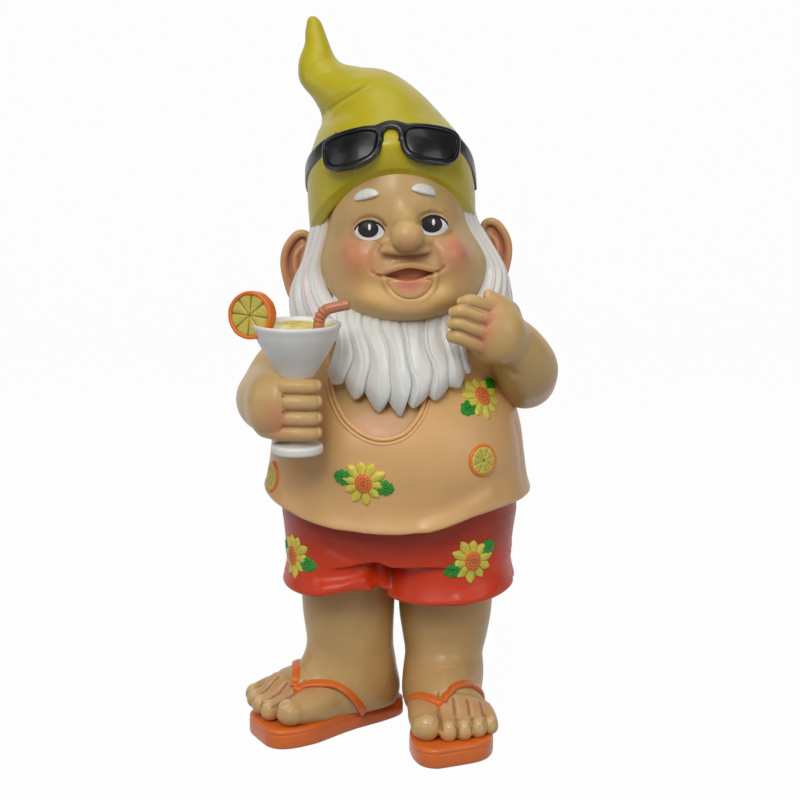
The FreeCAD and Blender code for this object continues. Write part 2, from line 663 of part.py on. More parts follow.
def temple(side):
    """Slim arm that runs from the frame's outer corner back and down along the hat to its end over the ear."""
    x, y, z = HEAD_AT.x - 5.6, HEAD_AT.y, HAT_LIP + 0.155 * HAT_HEIGHT + side * 2.5
    corner = LENS_WIDTH + BRIDGE_WIDTH / 2 + 1.0
    hat_side = HEAD_WIDTH / 2 * 1.02
    return tube([(x + side * corner, y - 30, z + 2), (x + side * 0.95 * hat_side, y - 10, z - 7),
                 (x + side * hat_side, y + 10, z - 19), (x + side * 0.99 * hat_side, y + 22, z - 29)],
                [2.5, 2.7, 2.7, 2.4])


# --- arms and hands --------------------------------------------------------------------------------
ARM_R = ARM_DIAMETER / 2
SHOULDER_X = VEST_WIDTH / 2 * 0.80
# middle of the right fist, on the stem of the glass
GRIP = V(-0.38 * VEST_WIDTH, BODY_Y - VEST_DEPTH / 2 - STEM_DIAMETER / 2 - FINGER_DIAMETER, SHOULDER - 28.0)
# back of the left hand, on the side of the beard
HEART = V(0.37 * VEST_WIDTH, BODY_Y - VEST_DEPTH / 2 + 8.0, SHOULDER + 8.0)


def right_arm():
    """Upper arm down and back, forearm forward to the wrist."""
    elbow = V(-SHOULDER_X - 13, BODY_Y - 8, SHOULDER - 27)
    return tube([(-SHOULDER_X, BODY_Y + 12, SHOULDER - 8), (-SHOULDER_X - 8, BODY_Y + 4, SHOULDER - 17), tuple(elbow),
                 (GRIP.x - 12.5, GRIP.y + 30, GRIP.z - 1), (GRIP.x - 8.0, GRIP.y + 13, GRIP.z)],
                [ARM_R * 0.9, ARM_R, ARM_R * 1.04, ARM_R * 0.97, ARM_R * 0.90])


def right_hand():
    """Fist round the stem: four stacked fingers as one lobed turning, a palm behind them and the thumb."""
    r = FINGER_DIAMETER / 2
    hollow = STEM_DIAMETER / 2 + 0.9 * r
    bottom = GRIP.z - 4 * r
    edges = []
    for i in range(4):
        low, middle, high = (V(radius, 0, bottom + (2 * i + step) * r) for step, radius in
                             ((0, hollow), (1, hollow + 0.95 * r), (2, hollow)))
        edges.append(Part.Arc(low, middle, high).toShape())
    top = GRIP.z + 4 * r
    edges += [Part.makeLine(V(hollow, 0, top), V(0, 0, top)), Part.makeLine(V(0, 0, top), V(0, 0, bottom)),
              Part.makeLine(V(0, 0, bottom), V(hollow, 0, bottom))]
    fingers = Part.Face(Part.Wire(edges)).revolve(V(0, 0, 0), V(0, 0, 1), 360)
    fingers.translate(V(GRIP.x, GRIP.y, 0))
    palm = ellipsoid(GRIP + V(-5.5, 9.0, 0), (14.0, 12.5, 16.4))
    thumb = tube([(GRIP.x - 2, GRIP.y + 13, GRIP.z + 6), (GRIP.x + 8, GRIP.y + 11, GRIP.z + 7),
                  (GRIP.x + 13, GRIP.y + 6, GRIP.z + 8)], [r * 1.25, r * 1.15, r * 0.95])
    return fingers.fuse([palm, thumb])


def left_arm():
    """Upper arm down, elbow out, forearm rising across the chest to the wrist."""
    return tube([(SHOULDER_X, BODY_Y + 12, SHOULDER - 8), (SHOULDER_X + 9, BODY_Y + 1, SHOULDER - 16),
                 (SHOULDER_X + 16, BODY_Y - 16, SHOULDER - 21), (HEART.x + 12, HEART.y + 8, HEART.z - 11),
                 (HEART.x + 6.5, HEART.y + 3, HEART.z - 3)],
                [ARM_R * 0.88, ARM_R * 0.96, ARM_R, ARM_R * 0.97, ARM_R * 0.90], True, False)


def left_hand():
    """Open hand laid on the beard: its back, four straight fingers side by side and the thumb up."""
    r = FINGER_DIAMETER / 2
    parts = [spheroid(HEART + V(3, -1.5, 1), 18.0, 11.0, Turn(V(0, 1, 0), 100))]
    for i in range(4):
        drop = (1.5 - i) * FINGER_DIAMETER * 0.86
        short = abs(i - 1.6) * 1.5
        parts.append(spheroid(HEART + V(-11.5 + short, -8.5, drop + 9.0), 1.45 * FINGER_DIAMETER, r, Turn(V(0, 1, 0), 12)))
    parts.append(spheroid(HEART + V(2.5, -1.0, 17.5), 9.5, r * 1.05, Turn(V(0, 1, 0), 52)))
    return parts[0].fuse(parts[1:])


# --- glass and its garnish -------------------------------------------------------------------------
RIM_Z = GRIP.z + 46.0
BOWL_BASE = RIM_Z - BOWL_HEIGHT
GLASS_FOOT_Z = GRIP.z - 2.65 * FINGER_DIAMETER


def turned(profile):
    """Solid of revolution round the glass's own upright axis from (radius, z) points."""
    points = [V(r, 0, z) for r, z in profile]
    solid = Part.Face(Part.makePolygon(points + [points[0]])).revolve(V(0, 0, 0), V(0, 0, 1), 360)
    solid.translate(V(GRIP.x, GRIP.y, 0))
    return solid


def bowl_radius(z, inset=0.0):
    """Radius of the cone-shaped bowl at a level."""
    share = (z - BOWL_BASE) / BOWL_HEIGHT
    return STEM_DIAMETER / 2 + share * (RIM_DIAMETER - STEM_DIAMETER) / 2 - inset


def glass():
    stem = STEM_DIAMETER / 2
    foot_r = GLASS_FOOT_DIAMETER / 2
    rim = RIM_DIAMETER / 2
    well = RIM_Z - 14.0
    solid = turned([(0, GLASS_FOOT_Z), (foot_r - 0.8, GLASS_FOOT_Z), (foot_r, GLASS_FOOT_Z + 1.2), (foot_r, GLASS_FOOT_Z + 2.6),
                    (foot_r - 1.0, GLASS_FOOT_Z + 3.6), (stem + 2.0, GLASS_FOOT_Z + 4.6), (stem, GLASS_FOOT_Z + 7.0),
                    (stem, BOWL_BASE), (rim, RIM_Z - 1.2), (rim - 0.5, RIM_Z), (rim - GLASS_WALL + 0.4, RIM_Z),
                    (bowl_radius(well, GLASS_WALL * 1.4), well), (0, well)])
    return solid


def drink():
    low, high = RIM_Z - 14.0, RIM_Z - DRINK_BELOW_RIM
    rim_in = RIM_DIAMETER / 2 - GLASS_WALL + 0.4
    base = bowl_radius(low, GLASS_WALL * 1.4)
    top = base + (rim_in - base) * (high - low) / (RIM_Z - low)
    return turned([(0, low), (base, low), (top, high), (0, high)])


def straw_path():
    low = V(GRIP.x + 7.0, GRIP.y + 3, RIM_Z - 12)
    bend = V(GRIP.x + 12.5, GRIP.y + 3, RIM_Z + 6.0)
    end = V(GRIP.x + 27.5, GRIP.y + 3, RIM_Z + 10.5)
    return low, bend, end


def straw():
    """Bent drinking straw: a tube with three bellows rings at its bend."""
    low, bend, end = straw_path()
    r = STRAW_DIAMETER / 2
    first = Part.makeCylinder(r, (bend - low).Length, low, bend - low)
    second = Part.makeCylinder(r, (end - bend).Length, bend, end - bend)
    bore = Part.makeCylinder(STRAW_BORE / 2, (end - bend).Length, bend + (end - bend) * 0.35, end - bend)
    solid = first.fuse([second, Part.makeSphere(r, bend)])
    for k in (-1, 0, 1):
        lean = (bend - low).normalize() * (1 - (k + 1) / 2) + (end - bend).normalize() * ((k + 1) / 2)
        at = bend + lean * (k * 2.2)
        solid = solid.fuse(Part.makeTorus(r - 0.1, 0.75, at, lean))
    return solid.cut(bore)


def slice_place():
    turn = Turn(V(0, 0, 1), -24).multiply(Turn(V(1, 0, 0), -4))
    return FreeCAD.Placement(V(GRIP.x - RIM_DIAMETER / 2 + 1.0, GRIP.y - 3.5, RIM_Z + 4.5), turn)


def fruit_slice():
    """Round fruit slice across the rim: rind ring and segmented flesh set in from both faces."""
    r, t = SLICE_DIAMETER / 2, SLICE_THICKNESS
    place = slice_place()
    whole = Part.makeCylinder(r, t, V(0, -t / 2, 0), V(0, 1, 0))
    hole = Part.makeCylinder(r - 2.0, t, V(0, -t / 2, 0), V(0, 1, 0))
    rind = whole.cut(hole)
    flesh = Part.makeCylinder(r - 2.0, t - 1.0, V(0, -t / 2 + 0.5, 0), V(0, 1, 0))
    for i in range(8):
        a = math.pi / 8 + math.pi * i / 4
        groove = box(-0.45, 0.45, -t, -t / 2 + 1.2, 1.2, r - 3.0)
        groove.rotate(V(0, 0, 0), V(0, 1, 0), math.degrees(a))
        flesh = flesh.cut(groove)
    return placed(rind, place), placed(flesh, place)


# --- the figure, group by group ---------------------------------------------------------------------
SIDES = (("right", -1), ("left", 1))
group = Part.makeCompound


def legs_and_sandals(shorts_body):
    pieces = {}
    for word, side in SIDES:
        skin = skin_leg(side)
        pieces[f"{word}_sandal_sole"] = for_side(sole(), side)
        pieces[f"{word}_sandal_straps"] = largest(for_side(straps(), side).cut(skin))
        nails = [for_side(nail, side) for nail in toenails()]
        pieces[f"{word}_toenails"] = group([largest(nail.cut(skin)) for nail in nails])
        pieces[f"{word}_leg"] = largest(skin.cut(shorts_body))
    return pieces


def garments(vest_body, shorts_body):
    pocket = neckline()
    pieces = {
        "shorts": shorts_body,
        "vest": vest_body.cut(pocket),
        "chest": vest_outer(-NECKLINE_DEPTH).common(pocket),
        "neck_binding": largest(vest_outer(BINDING_RELIEF).common(neckline(BINDING_WIDTH).cut(pocket)).cut(vest_body)),
    }
    rows = vest_sections()
    skins = (vest_body, vest_outer(MOTIF_RELIEF), vest_outer(MOTIF_RELIEF + 0.5))
    spots = [(bearing, VEST_HEM + up * VEST_LENGTH, spin) for bearing, up, spin in VEST_FLOWERS]
    names = ("petals", "centres", "leaves")
    for name, found in zip(names, flowers(rows, spots, *skins)):
        pieces[f"vest_flower_{name}"] = group([piece.cut(pieces["neck_binding"]) for piece in found])
    spots = [(bearing, VEST_HEM + up * VEST_LENGTH) for bearing, up in VEST_CITRUS]
    for name, found in zip(("rinds", "flesh"), citrus_slices(rows, spots, *skins)):
        pieces[f"vest_citrus_{name}"] = group(found)

    found = ([], [], [])
    for side, spots in ((-1, SHORTS_FLOWERS_RIGHT), (1, SHORTS_FLOWERS_LEFT)):
        spots = [(bearing, SHORTS_HEM + up * SHORTS_LENGTH, spin) for bearing, up, spin in spots]
        skins = (shorts_body, shorts_outer(MOTIF_RELIEF), shorts_outer(MOTIF_RELIEF + 0.5))
        for total, more in zip(found, flowers(trouser_rows(side), spots, *skins)):
            total += more
    for name, pieces_found in zip(names, found):
        pieces[f"shorts_flower_{name}"] = group([piece.cut(vest_body) for piece in pieces_found])
    return pieces


def drink_and_garnish():
    goblet, liquid, tube_straw = glass(), drink(), straw()
    rind, flesh = fruit_slice()
    return {
        "glass": goblet,
        "drink": liquid.cut(tube_straw),
        "straw": largest(tube_straw.cut(goblet)),
        "fruit_slice_rind": largest(rind.cut(goblet).cut(liquid)),
        "fruit_slice_flesh": largest(flesh.cut(goblet).cut(liquid)),
    }


def face_pieces(head):
    pieces = {"nose": largest(nose().cut(head)), "upper_lip": largest(lips().cut(head))}
    pieces["tongue"] = largest(tongue().cut(head).cut(lips()))
    pieces["eye_whites"] = group([largest(eye(side).cut(head)) for _, side in SIDES])
    pieces["eye_pupils"] = group([largest(pupil(side).cut(head).cut(eye(side))) for _, side in SIDES])
    pieces["eyebrows"] = group([largest(eyebrow(side).cut(head)) for _, side in SIDES])
    return pieces


def sunglasses(hat_body):
    frame, lenses = glasses_front()
    frame = largest(frame.cut(hat_body))
    arms = [largest(temple(side).cut(hat_body).cut(frame).cut(group(lenses))) for _, side in SIDES]
    return {
        "sunglasses_frame": frame,
        "sunglasses_lenses": group([largest(lens.cut(hat_body)) for lens in lenses]),
        "sunglasses_temples": group(arms),
    }


def head_and_hair(vest_body):
    head = skull()
    hat = hat_outer().cut(head)
    beard = beard_core().fuse([beard_lock(i) for i in range(LOCKS)]).cut(vest_body).cut(head)
    sides_and_back = half_space(V(0, HEAD_AT.y - 0.13 * HEAD_DEPTH, 0), V(0, 1, 0))
    hair = hair_outer().common(sides_and_back).cut(group(hair_partings()))
    hair = hair.cut(head).cut(vest_body).cut(hat).cut(beard)
    pieces = {"head": head, "hat": hat, "beard": largest(beard), "hair": largest(hair)}
    for word, side in SIDES:
        pieces[f"{word}_ear"] = largest(ear(side).cut(head).cut(hair).cut(hat))
    pieces.update(face_pieces(head))
    pieces.update(sunglasses(hat_outer()))
    return pieces


def arms_and_hands(vest_body, others):
    """Arms and hands, cut by what they lie on: the vest, the beard, the hair and the glass."""
    pieces = {}
    for word, arm, hand in (("right", right_arm(), right_hand()), ("left", left_arm(), left_hand())):
        for other in others:
            hand = hand.cut(other)
            arm = arm.cut(other)
        pieces[f"{word}_hand"] = largest(hand.cut(vest_body))
        pieces[f"{word}_arm"] = largest(arm.cut(vest_body).cut(hand))
    return pieces


def main():
    vest_body = vest_outer()
    shorts_body = shorts_outer().cut(vest_body)
    pieces = legs_and_sandals(shorts_body)
    pieces.update(garments(vest_body, shorts_body))
    pieces.update(drink_and_garnish())
    pieces.update(head_and_hair(vest_body))
    pieces.update(arms_and_hands(vest_body, [pieces[n] for n in ("glass", "beard", "hair", "head")]))

    bounds = group(list(pieces.values())).optimalBoundingBox(False)
    middle = V(bounds.Center.x, bounds.Center.y, bounds.ZMin)
    print(f"moved by {-middle.x:.3f} {-middle.y:.3f} {-middle.z:.3f}")
    os.makedirs("parts", exist_ok=True)
    for name, shape in pieces.items():
        shape = shape.copy()
        shape.translate(-middle)
        shape.exportStep(f"parts/{name}.step")
        print(f"{name:24s} solids {len(shape.Solids)}  cm3 {shape.Volume / 1000:9.3f}  valid {shape.isValid()}")


main()
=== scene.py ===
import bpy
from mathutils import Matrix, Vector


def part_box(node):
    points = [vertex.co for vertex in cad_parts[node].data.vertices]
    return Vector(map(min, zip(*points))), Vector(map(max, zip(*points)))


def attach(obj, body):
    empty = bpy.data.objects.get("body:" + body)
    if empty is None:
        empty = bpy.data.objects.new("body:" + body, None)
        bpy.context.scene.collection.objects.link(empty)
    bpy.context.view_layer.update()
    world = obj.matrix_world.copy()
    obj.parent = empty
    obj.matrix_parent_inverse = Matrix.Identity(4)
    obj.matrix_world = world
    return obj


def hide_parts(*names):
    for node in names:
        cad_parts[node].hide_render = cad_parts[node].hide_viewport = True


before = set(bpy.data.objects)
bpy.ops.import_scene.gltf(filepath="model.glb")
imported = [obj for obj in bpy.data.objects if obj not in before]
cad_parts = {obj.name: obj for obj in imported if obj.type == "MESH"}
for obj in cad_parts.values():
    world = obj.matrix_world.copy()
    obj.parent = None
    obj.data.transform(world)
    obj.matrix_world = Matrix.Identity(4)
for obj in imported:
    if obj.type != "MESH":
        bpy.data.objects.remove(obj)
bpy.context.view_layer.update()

import copy
import functools
import math

import bpy
import numpy as np
from bpy.props import FloatProperty, FloatVectorProperty, PointerProperty
from bpy.types import Operator, Panel, PropertyGroup
from mathutils import Euler

bl_info = {
    "name": "Holiday garden gnome",
    "version": (1, 0, 0),
    "blender": (4, 5, 0),
    "location": "3D View > Sidebar > Gnome",
    "description": "Sculpts and paints a cast resin garden gnome over its packed solids",
    "category": "Object",
}

# --- Where the figure stands. Every size below is in millimetres in the figure's own
# frame: nought on the ground, +Z up, the face towards -Y, its middle on the vest's.

MM = 0.001
BELLY_BEHIND = 9.0
VEST_LOW, VEST_HIGH = (np.array(corner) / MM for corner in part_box("vest"))
FIGURE_AT = np.array([(VEST_LOW[0] + VEST_HIGH[0]) / 2, (VEST_LOW[1] + VEST_HIGH[1]) / 2 + BELLY_BEHIND, 0.0])
COARSE = 1.0


# --- Skins: points with the quads and triangles between them ---

class Skin:
    """Points in millimetres, the faces between them, and values painted on the points."""

    def __init__(self, points, quads, triangles=(), **paint):
        self.points = np.asarray(points, float).reshape(-1, 3)
        self.quads = np.asarray(quads, int).reshape(-1, 4)
        self.triangles = np.asarray(triangles, int).reshape(-1, 3)
        self.paint = paint


def merged(skins):
    """Several skins as one: the faces' indices move up by the points before them."""
    starts = np.cumsum([0] + [len(skin.points) for skin in skins[:-1]])
    names = sorted({name for skin in skins for name in skin.paint})
    paint = {name: np.concatenate([np.broadcast_to(skin.paint.get(name, 0.0), len(skin.points))
                                   for skin in skins]) for name in names}
    return Skin(np.concatenate([skin.points for skin in skins]),
                np.concatenate([skin.quads + start for skin, start in zip(skins, starts)]),
                np.concatenate([skin.triangles + start for skin, start in zip(skins, starts)]), **paint)


def belt(index):
    """The quads between each row of point numbers and the next, all the way round."""
    low, high = index[:-1], index[1:]
    return np.stack([low, np.roll(low, -1, 1), np.roll(high, -1, 1), high], -1).reshape(-1, 4)


def grid_skin(rings, **paint):
    """A closed skin over rings of points: ring i joins ring i+1, and each end ring is drawn
    together to a point at its own middle. The rings run anticlockwise seen from the last one."""
    rows, columns = rings.shape[:2]
    index = np.arange(rows * columns).reshape(rows, columns)
    first, last = rows * columns, rows * columns + 1
    triangles = np.concatenate([
        np.stack([np.full(columns, first), np.roll(index[0], -1), index[0]], -1),
        np.stack([np.full(columns, last), index[-1], np.roll(index[-1], -1)], -1)])
    points = np.concatenate([rings.reshape(-1, 3), [rings[0].mean(0), rings[-1].mean(0)]])
    paint = {name: np.concatenate([value.reshape(-1), [value[0].mean(), value[-1].mean()]])
             for name, value in paint.items()}
    return Skin(points, belt(index), triangles, **paint)


def sewn_skin(front, back, **paint):
    """A front sheet and a back sheet, row for row, sewn together at both sides and both ends. Where
    the volume under the faces comes out negative, the faces are turned over."""
    rows, columns = front.shape[:2]
    points = np.concatenate([front, back[:, ::-1]], 1).reshape(-1, 3)
    index = np.arange(rows * 2 * columns).reshape(rows, 2 * columns)
    quads = [belt(index)]
    for row, way in ((index[0], -1), (index[-1], 1)):
        ahead, behind = row[:columns], row[::-1][:columns]
        quads.append(np.stack([ahead[:-1], ahead[1:], behind[1:], behind[:-1]], -1)[:, ::way])
    quads = np.concatenate(quads)
    a, b, c, d = points[quads].transpose(1, 0, 2)
    if (np.cross(a, b) * c + np.cross(a, c) * d).sum() < 0:
        quads = quads[:, ::-1]
    paint = {name: np.concatenate([value, value[:, ::-1]], 1).reshape(-1) for name, value in paint.items()}
    return Skin(points, quads, **paint)


def neighbours(skin):
    """The edges of a skin, each both ways, as two arrays of point numbers."""
    quads, triangles = skin.quads, skin.triangles
    a = np.concatenate([quads.reshape(-1), triangles.reshape(-1)])
    b = np.concatenate([np.roll(quads, -1, 1).reshape(-1), np.roll(triangles, -1, 1).reshape(-1)])
    return np.concatenate([a, b]), np.concatenate([b, a])


def edge_mean(values, start, count):
    """At each point, the mean of the values on the edges that start there."""
    return np.bincount(start, values, count) / np.maximum(np.bincount(start, minlength=count), 1)


def point_normals(skin):
    """Unit normals at the points, from the crossed diagonals or sides of the faces round them."""
    points, total = skin.points, np.zeros_like(skin.points)
    for faces, (a, b, c, d) in ((skin.quads, (0, 2, 1, 3)), (skin.triangles, (0, 1, 0, 2))):
        if not len(faces):
            continue
        cross = np.cross(points[faces[:, b]] - points[faces[:, a]], points[faces[:, d]] - points[faces[:, c]])
        for axis in range(3):
            total[:, axis] += np.bincount(faces.reshape(-1), np.repeat(cross[:, axis], faces.shape[1]),
                                          len(points))
    return total / np.maximum(np.linalg.norm(total, axis=1, keepdims=True), 1e-12)


CREASE_REACH = 1.5
CREASE_ROUNDS = 3


def crease_of(skin):
    """How far each point lies below its neighbours' mean, along its normal, over the square of
    their distance and times a reach in millimetres: 1 in a sharp crease, -1 on a sharp ridge. Then
    it is evened out among the neighbours, a few rounds over."""
    start, end = neighbours(skin)
    count, points = len(skin.points), skin.points
    middle = np.stack([edge_mean(points[end, axis], start, count) for axis in range(3)], -1)
    gap = edge_mean(((points[end] - points[start]) ** 2).sum(1), start, count)
    bend = ((middle - points) * point_normals(skin)).sum(1) / np.maximum(gap, 1e-6) * 4 * CREASE_REACH
    bend = np.clip(bend, -3, 3)
    for _ in range(CREASE_ROUNDS):
        bend = 0.4 * bend + 0.6 * edge_mean(bend[end], start, count)
    return np.clip(bend, -1, 1)


def mesh_of(name, skin, paint):
    """A smooth mesh of a skin whose points are in metres; its painted values become attributes."""
    mesh = bpy.data.meshes.new(name)
    corners = np.concatenate([skin.quads.reshape(-1), skin.triangles.reshape(-1)])
    sides = np.concatenate([np.full(len(skin.quads), 4), np.full(len(skin.triangles), 3)])
    mesh.vertices.add(len(skin.points))
    mesh.vertices.foreach_set("co", skin.points.astype(np.float32).ravel())
    mesh.loops.add(len(corners))
    mesh.loops.foreach_set("vertex_index", corners.astype(np.int32))
    mesh.polygons.add(len(sides))
    mesh.polygons.foreach_set("loop_start", (np.cumsum(sides) - sides).astype(np.int32))
    mesh.polygons.foreach_set("use_smooth", np.full(len(sides), True))
    for key, values in skin.paint.items():
        layer = mesh.attributes.new(key, "FLOAT", "POINT")
        layer.data.foreach_set("value", np.broadcast_to(values, len(skin.points)).astype(np.float32))
    mesh.update(calc_edges=True)
    mesh.validate()
    mesh.materials.append(paint)
    return mesh


def placed(name, data, place=(0, 0, 0), turn=(0, 0, 0)):
    """An object of the scene that holds the data, at a place and turned by angles in radians."""
    holder = bpy.data.objects.new(name, data)
    holder.location, holder.rotation_euler = place, turn
    bpy.context.scene.collection.objects.link(holder)
    return holder


def make(name, skin, paint, slot, *nodes):
    """Writes a skin to a mesh object that stands for its nodes and rides with the body."""
    skin.paint.setdefault("crease", crease_of(skin))
    skin.points = (skin.points + FIGURE_AT) * MM
    piece = placed(name, mesh_of(name, skin, paint_called(paint)))
    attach(piece, "root")
    if nodes:
        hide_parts(*nodes)


# --- Paths and profiles ---

def smooth_path(points, count):
    """A curve through the points, each span a cubic whose slopes are half the chord between
    the neighbours, read at count even steps."""
    points = np.asarray(points, float)
    padded = np.concatenate([[2 * points[0] - points[1]], points, [2 * points[-1] - points[-2]]])
    at = np.linspace(0, len(points) - 1, count)
    span = np.minimum(at.astype(int), len(points) - 2)
    t = (at - span).reshape([-1] + [1] * (points.ndim - 1))
    a, b, c, d = (padded[span + step] for step in range(4))
    return 0.5 * (2 * b + (c - a) * t + (2 * a - 5 * b + 4 * c - d) * t ** 2
                  + (3 * b - a - 3 * c + d) * t ** 3)


def unit(vectors):
    """The vectors at length one."""
    return vectors / np.maximum(np.linalg.norm(vectors, axis=-1, keepdims=True), 1e-12)


def carried(path, side_hint, profile):
    """A profile carried along a path. At each step the profile's first coordinate runs across the
    path and its second along the hint, squared up to the path, and ring by ring that is the skin."""
    along = unit(np.gradient(path, axis=0))
    across = unit(np.cross(along, side_hint))
    up = np.cross(across, along)
    return path[:, None] + profile[..., :1] * across[:, None] + profile[..., 1:] * up[:, None]


def matrix_of(degrees):
    """The matrix that turns by angles about X, Y and Z in that order."""
    return np.array(Euler([math.radians(angle) for angle in degrees]).to_matrix())


def angles(count):
    """Even angles once round, the last one a step before the first."""
    return np.arange(count) * (2 * math.pi / count)


def hills(points, centres, radius):
    """The sum of bell-shaped hills over the centres: exp(-(distance / radius) squared)."""
    return sum(np.exp(-((points - np.array(centre)) ** 2).sum(-1) / radius ** 2) for centre in centres)


def washed(skin, key, *spots, most=1.0):
    """Paints a value on a skin: hills summed over spots, each a strength, places and a radius."""
    total = sum(strength * hills(skin.points, places, radius) for strength, places, radius in spots)
    skin.paint[key] = np.clip(total, 0, most)
    return skin


def round_profile(count, wide=1.0, high=1.0, power=2.0):
    """A closed profile of these half sizes: the super-ellipse |x|^power + |y|^power = 1."""
    c, s = np.cos(angles(count)), np.sin(angles(count))
    grow = (np.abs(c) ** power + np.abs(s) ** power) ** (-1 / power)
    return np.stack([wide * c * grow, high * s * grow], -1)


# --- Clay: the skin lies where a distance, summed from simple forms, is nought ---

CORNERS = np.array([(i, j, k) for i in (0, 1) for j in (0, 1) for k in (0, 1)])
EDGES = [(a, b) for a in range(8) for b in range(a + 1, 8) if abs(CORNERS[a] - CORNERS[b]).sum() == 1]


def blended(a, b, blend):
    """The lower of two distances, with a fillet where they are within blend of each other."""
    if blend <= 0:
        return np.minimum(a, b)
    share = np.clip(0.5 + 0.5 * (b - a) / blend, 0, 1)
    return b + (a - b) * share - blend * share * (1 - share)


class Clay:
    """A block of modelling clay: a grid of distances from the skin, below nought inside."""

    def __init__(self, low, high, step):
        self.step = step * COARSE
        self.low = np.array(low, float)
        self.axes = [np.arange(a, b + self.step, self.step, dtype=np.float32) for a, b in zip(low, high)]
        self.field = np.full([len(axis) for axis in self.axes], 40.0, np.float32)

    def near(self, low, high):
        """The part of the grid between two corners: its slice, and its coordinates."""
        cut = tuple(slice(*np.searchsorted(axis, ends)) for axis, ends in zip(self.axes, zip(low, high)))
        grid = np.meshgrid(*[axis[part] for axis, part in zip(self.axes, cut)], indexing="ij", sparse=True)
        return cut, grid

    def press(self, cut, distance, blend, carve):
        """Adds a form's distance to the block, or takes the form away."""
        if carve:
            self.field[cut] = -blended(-self.field[cut], distance, blend)
        else:
            self.field[cut] = blended(self.field[cut], distance, blend)

    def ball(self, centre, radii, blend=0.0, turn=(0, 0, 0), carve=False):
        """An ellipsoid: with k the length of the place over the radii, and m that of the place over
        the radii squared, the distance is k (k - 1) / m."""
        centre, radii = np.array(centre, float), np.broadcast_to(np.array(radii, float), 3)
        reach = radii.max() + blend + 3 * self.step
        cut, (x, y, z) = self.near(centre - reach, centre + reach)
        matrix = matrix_of(turn)
        x, y, z = x - centre[0], y - centre[1], z - centre[2]
        local = [x * matrix[0, i] + y * matrix[1, i] + z * matrix[2, i] for i in range(3)]
        k = np.sqrt(sum((part / radius) ** 2 for part, radius in zip(local, radii)))
        m = np.sqrt(sum((part / radius ** 2) ** 2 for part, radius in zip(local, radii)))
        self.press(cut, k * (k - 1) / np.maximum(m, 1e-6), blend, carve)

    def spans(self, points, radii, reach):
        """The least distance to a chain of round cones: along each span the radius runs from one
        end's to the other's. Returns the slice it was worked out on, and the distance."""
        points, radii = np.asarray(points, float), np.asarray(radii, float)
        room = radii.max() + reach
        cut, _ = self.near(points.min(0) - room, points.max(0) + room)
        far = np.full([part.stop - part.start for part in cut], 40.0, np.float32)
        corner = np.array([part.start for part in cut])
        for a, b, ra, rb in zip(points[:-1], points[1:], radii[:-1], radii[1:]):
            here, (x, y, z) = self.near(np.minimum(a, b) - room, np.maximum(a, b) + room)
            way = b - a
            t = np.clip(((x - a[0]) * way[0] + (y - a[1]) * way[1] + (z - a[2]) * way[2])
                        / max(way @ way, 1e-9), 0, 1)
            gap = np.sqrt((x - a[0] - t * way[0]) ** 2 + (y - a[1] - t * way[1]) ** 2
                          + (z - a[2] - t * way[2]) ** 2) - (ra + t * (rb - ra))
            inner = tuple(slice(part.start - start, part.stop - start) for part, start in zip(here, corner))
            far[inner] = np.minimum(far[inner], gap)
        return cut, far

    def tube(self, points, radii, blend=0.0, carve=False, steps=24):
        """A round limb along a smooth path, whose radius swells and thins from point to point."""
        path = smooth_path(points, steps)
        width = smooth_path(np.asarray(radii, float), steps)
        cut, distance = self.spans(path, width, blend + 4 * self.step)
        self.press(cut, distance, blend, carve)

    def swell(self, centre, radii, amount):
        """Pushes the skin out by a bell-shaped amount round a place, or in where it is negative."""
        centre, radii = np.array(centre, float), np.broadcast_to(np.array(radii, float), 3)
        cut, (x, y, z) = self.near(centre - 2.6 * radii, centre + 2.6 * radii)
        bell = np.exp(-((x - centre[0]) / radii[0]) ** 2 - ((y - centre[1]) / radii[1]) ** 2
                      - ((z - centre[2]) / radii[2]) ** 2)
        self.field[cut] -= amount * bell

    def line(self, points, width, depth, steps=30):
        """Draws a groove of bell-shaped section along a smooth path, or a ridge where its depth is
        negative. It fades out at both ends."""
        path = smooth_path(points, steps)
        cut, distance = self.spans(path, np.zeros(steps), 2.6 * width)
        self.field[cut] += depth * np.exp(-(distance / width) ** 2)

    def folds(self, rows):
        """Draws lines, each with its width and depth. A line of places (x, z) is dropped on to the
        clay's front first."""
        for line, width, depth in rows:
            self.line(on_front(self, line) if len(line[0]) == 2 else line, width, depth)

    def sample(self, points):
        """The distance at any places: the eight grid values round each one, weighted by nearness."""
        place = (points - self.low) / self.step
        limit = np.array(self.field.shape) - 2
        cell = np.clip(np.floor(place).astype(int), 0, limit)
        t = np.clip(place - cell, 0, 1)
        total = np.zeros(len(points))
        for corner in CORNERS:
            weight = np.prod(np.where(corner, t, 1 - t), axis=1)
            i, j, k = (cell + corner).T
            total += weight * self.field[i, j, k]
        return total

    def slope(self, points):
        """Which way the distance grows at places, from its change over a step along each axis."""
        step = np.eye(3) * self.step * 0.7
        return np.stack([self.sample(points + way) - self.sample(points - way) for way in step], -1) / (
            1.4 * self.step)

    def land(self, points, direction):
        """Moves places along a direction until they meet the skin, by steps of their distance."""
        points = np.array(points, float)
        for _ in range(36):
            points += np.asarray(direction) * np.clip(0.85 * self.sample(points), -1.5, 1.5)[:, None]
        return points

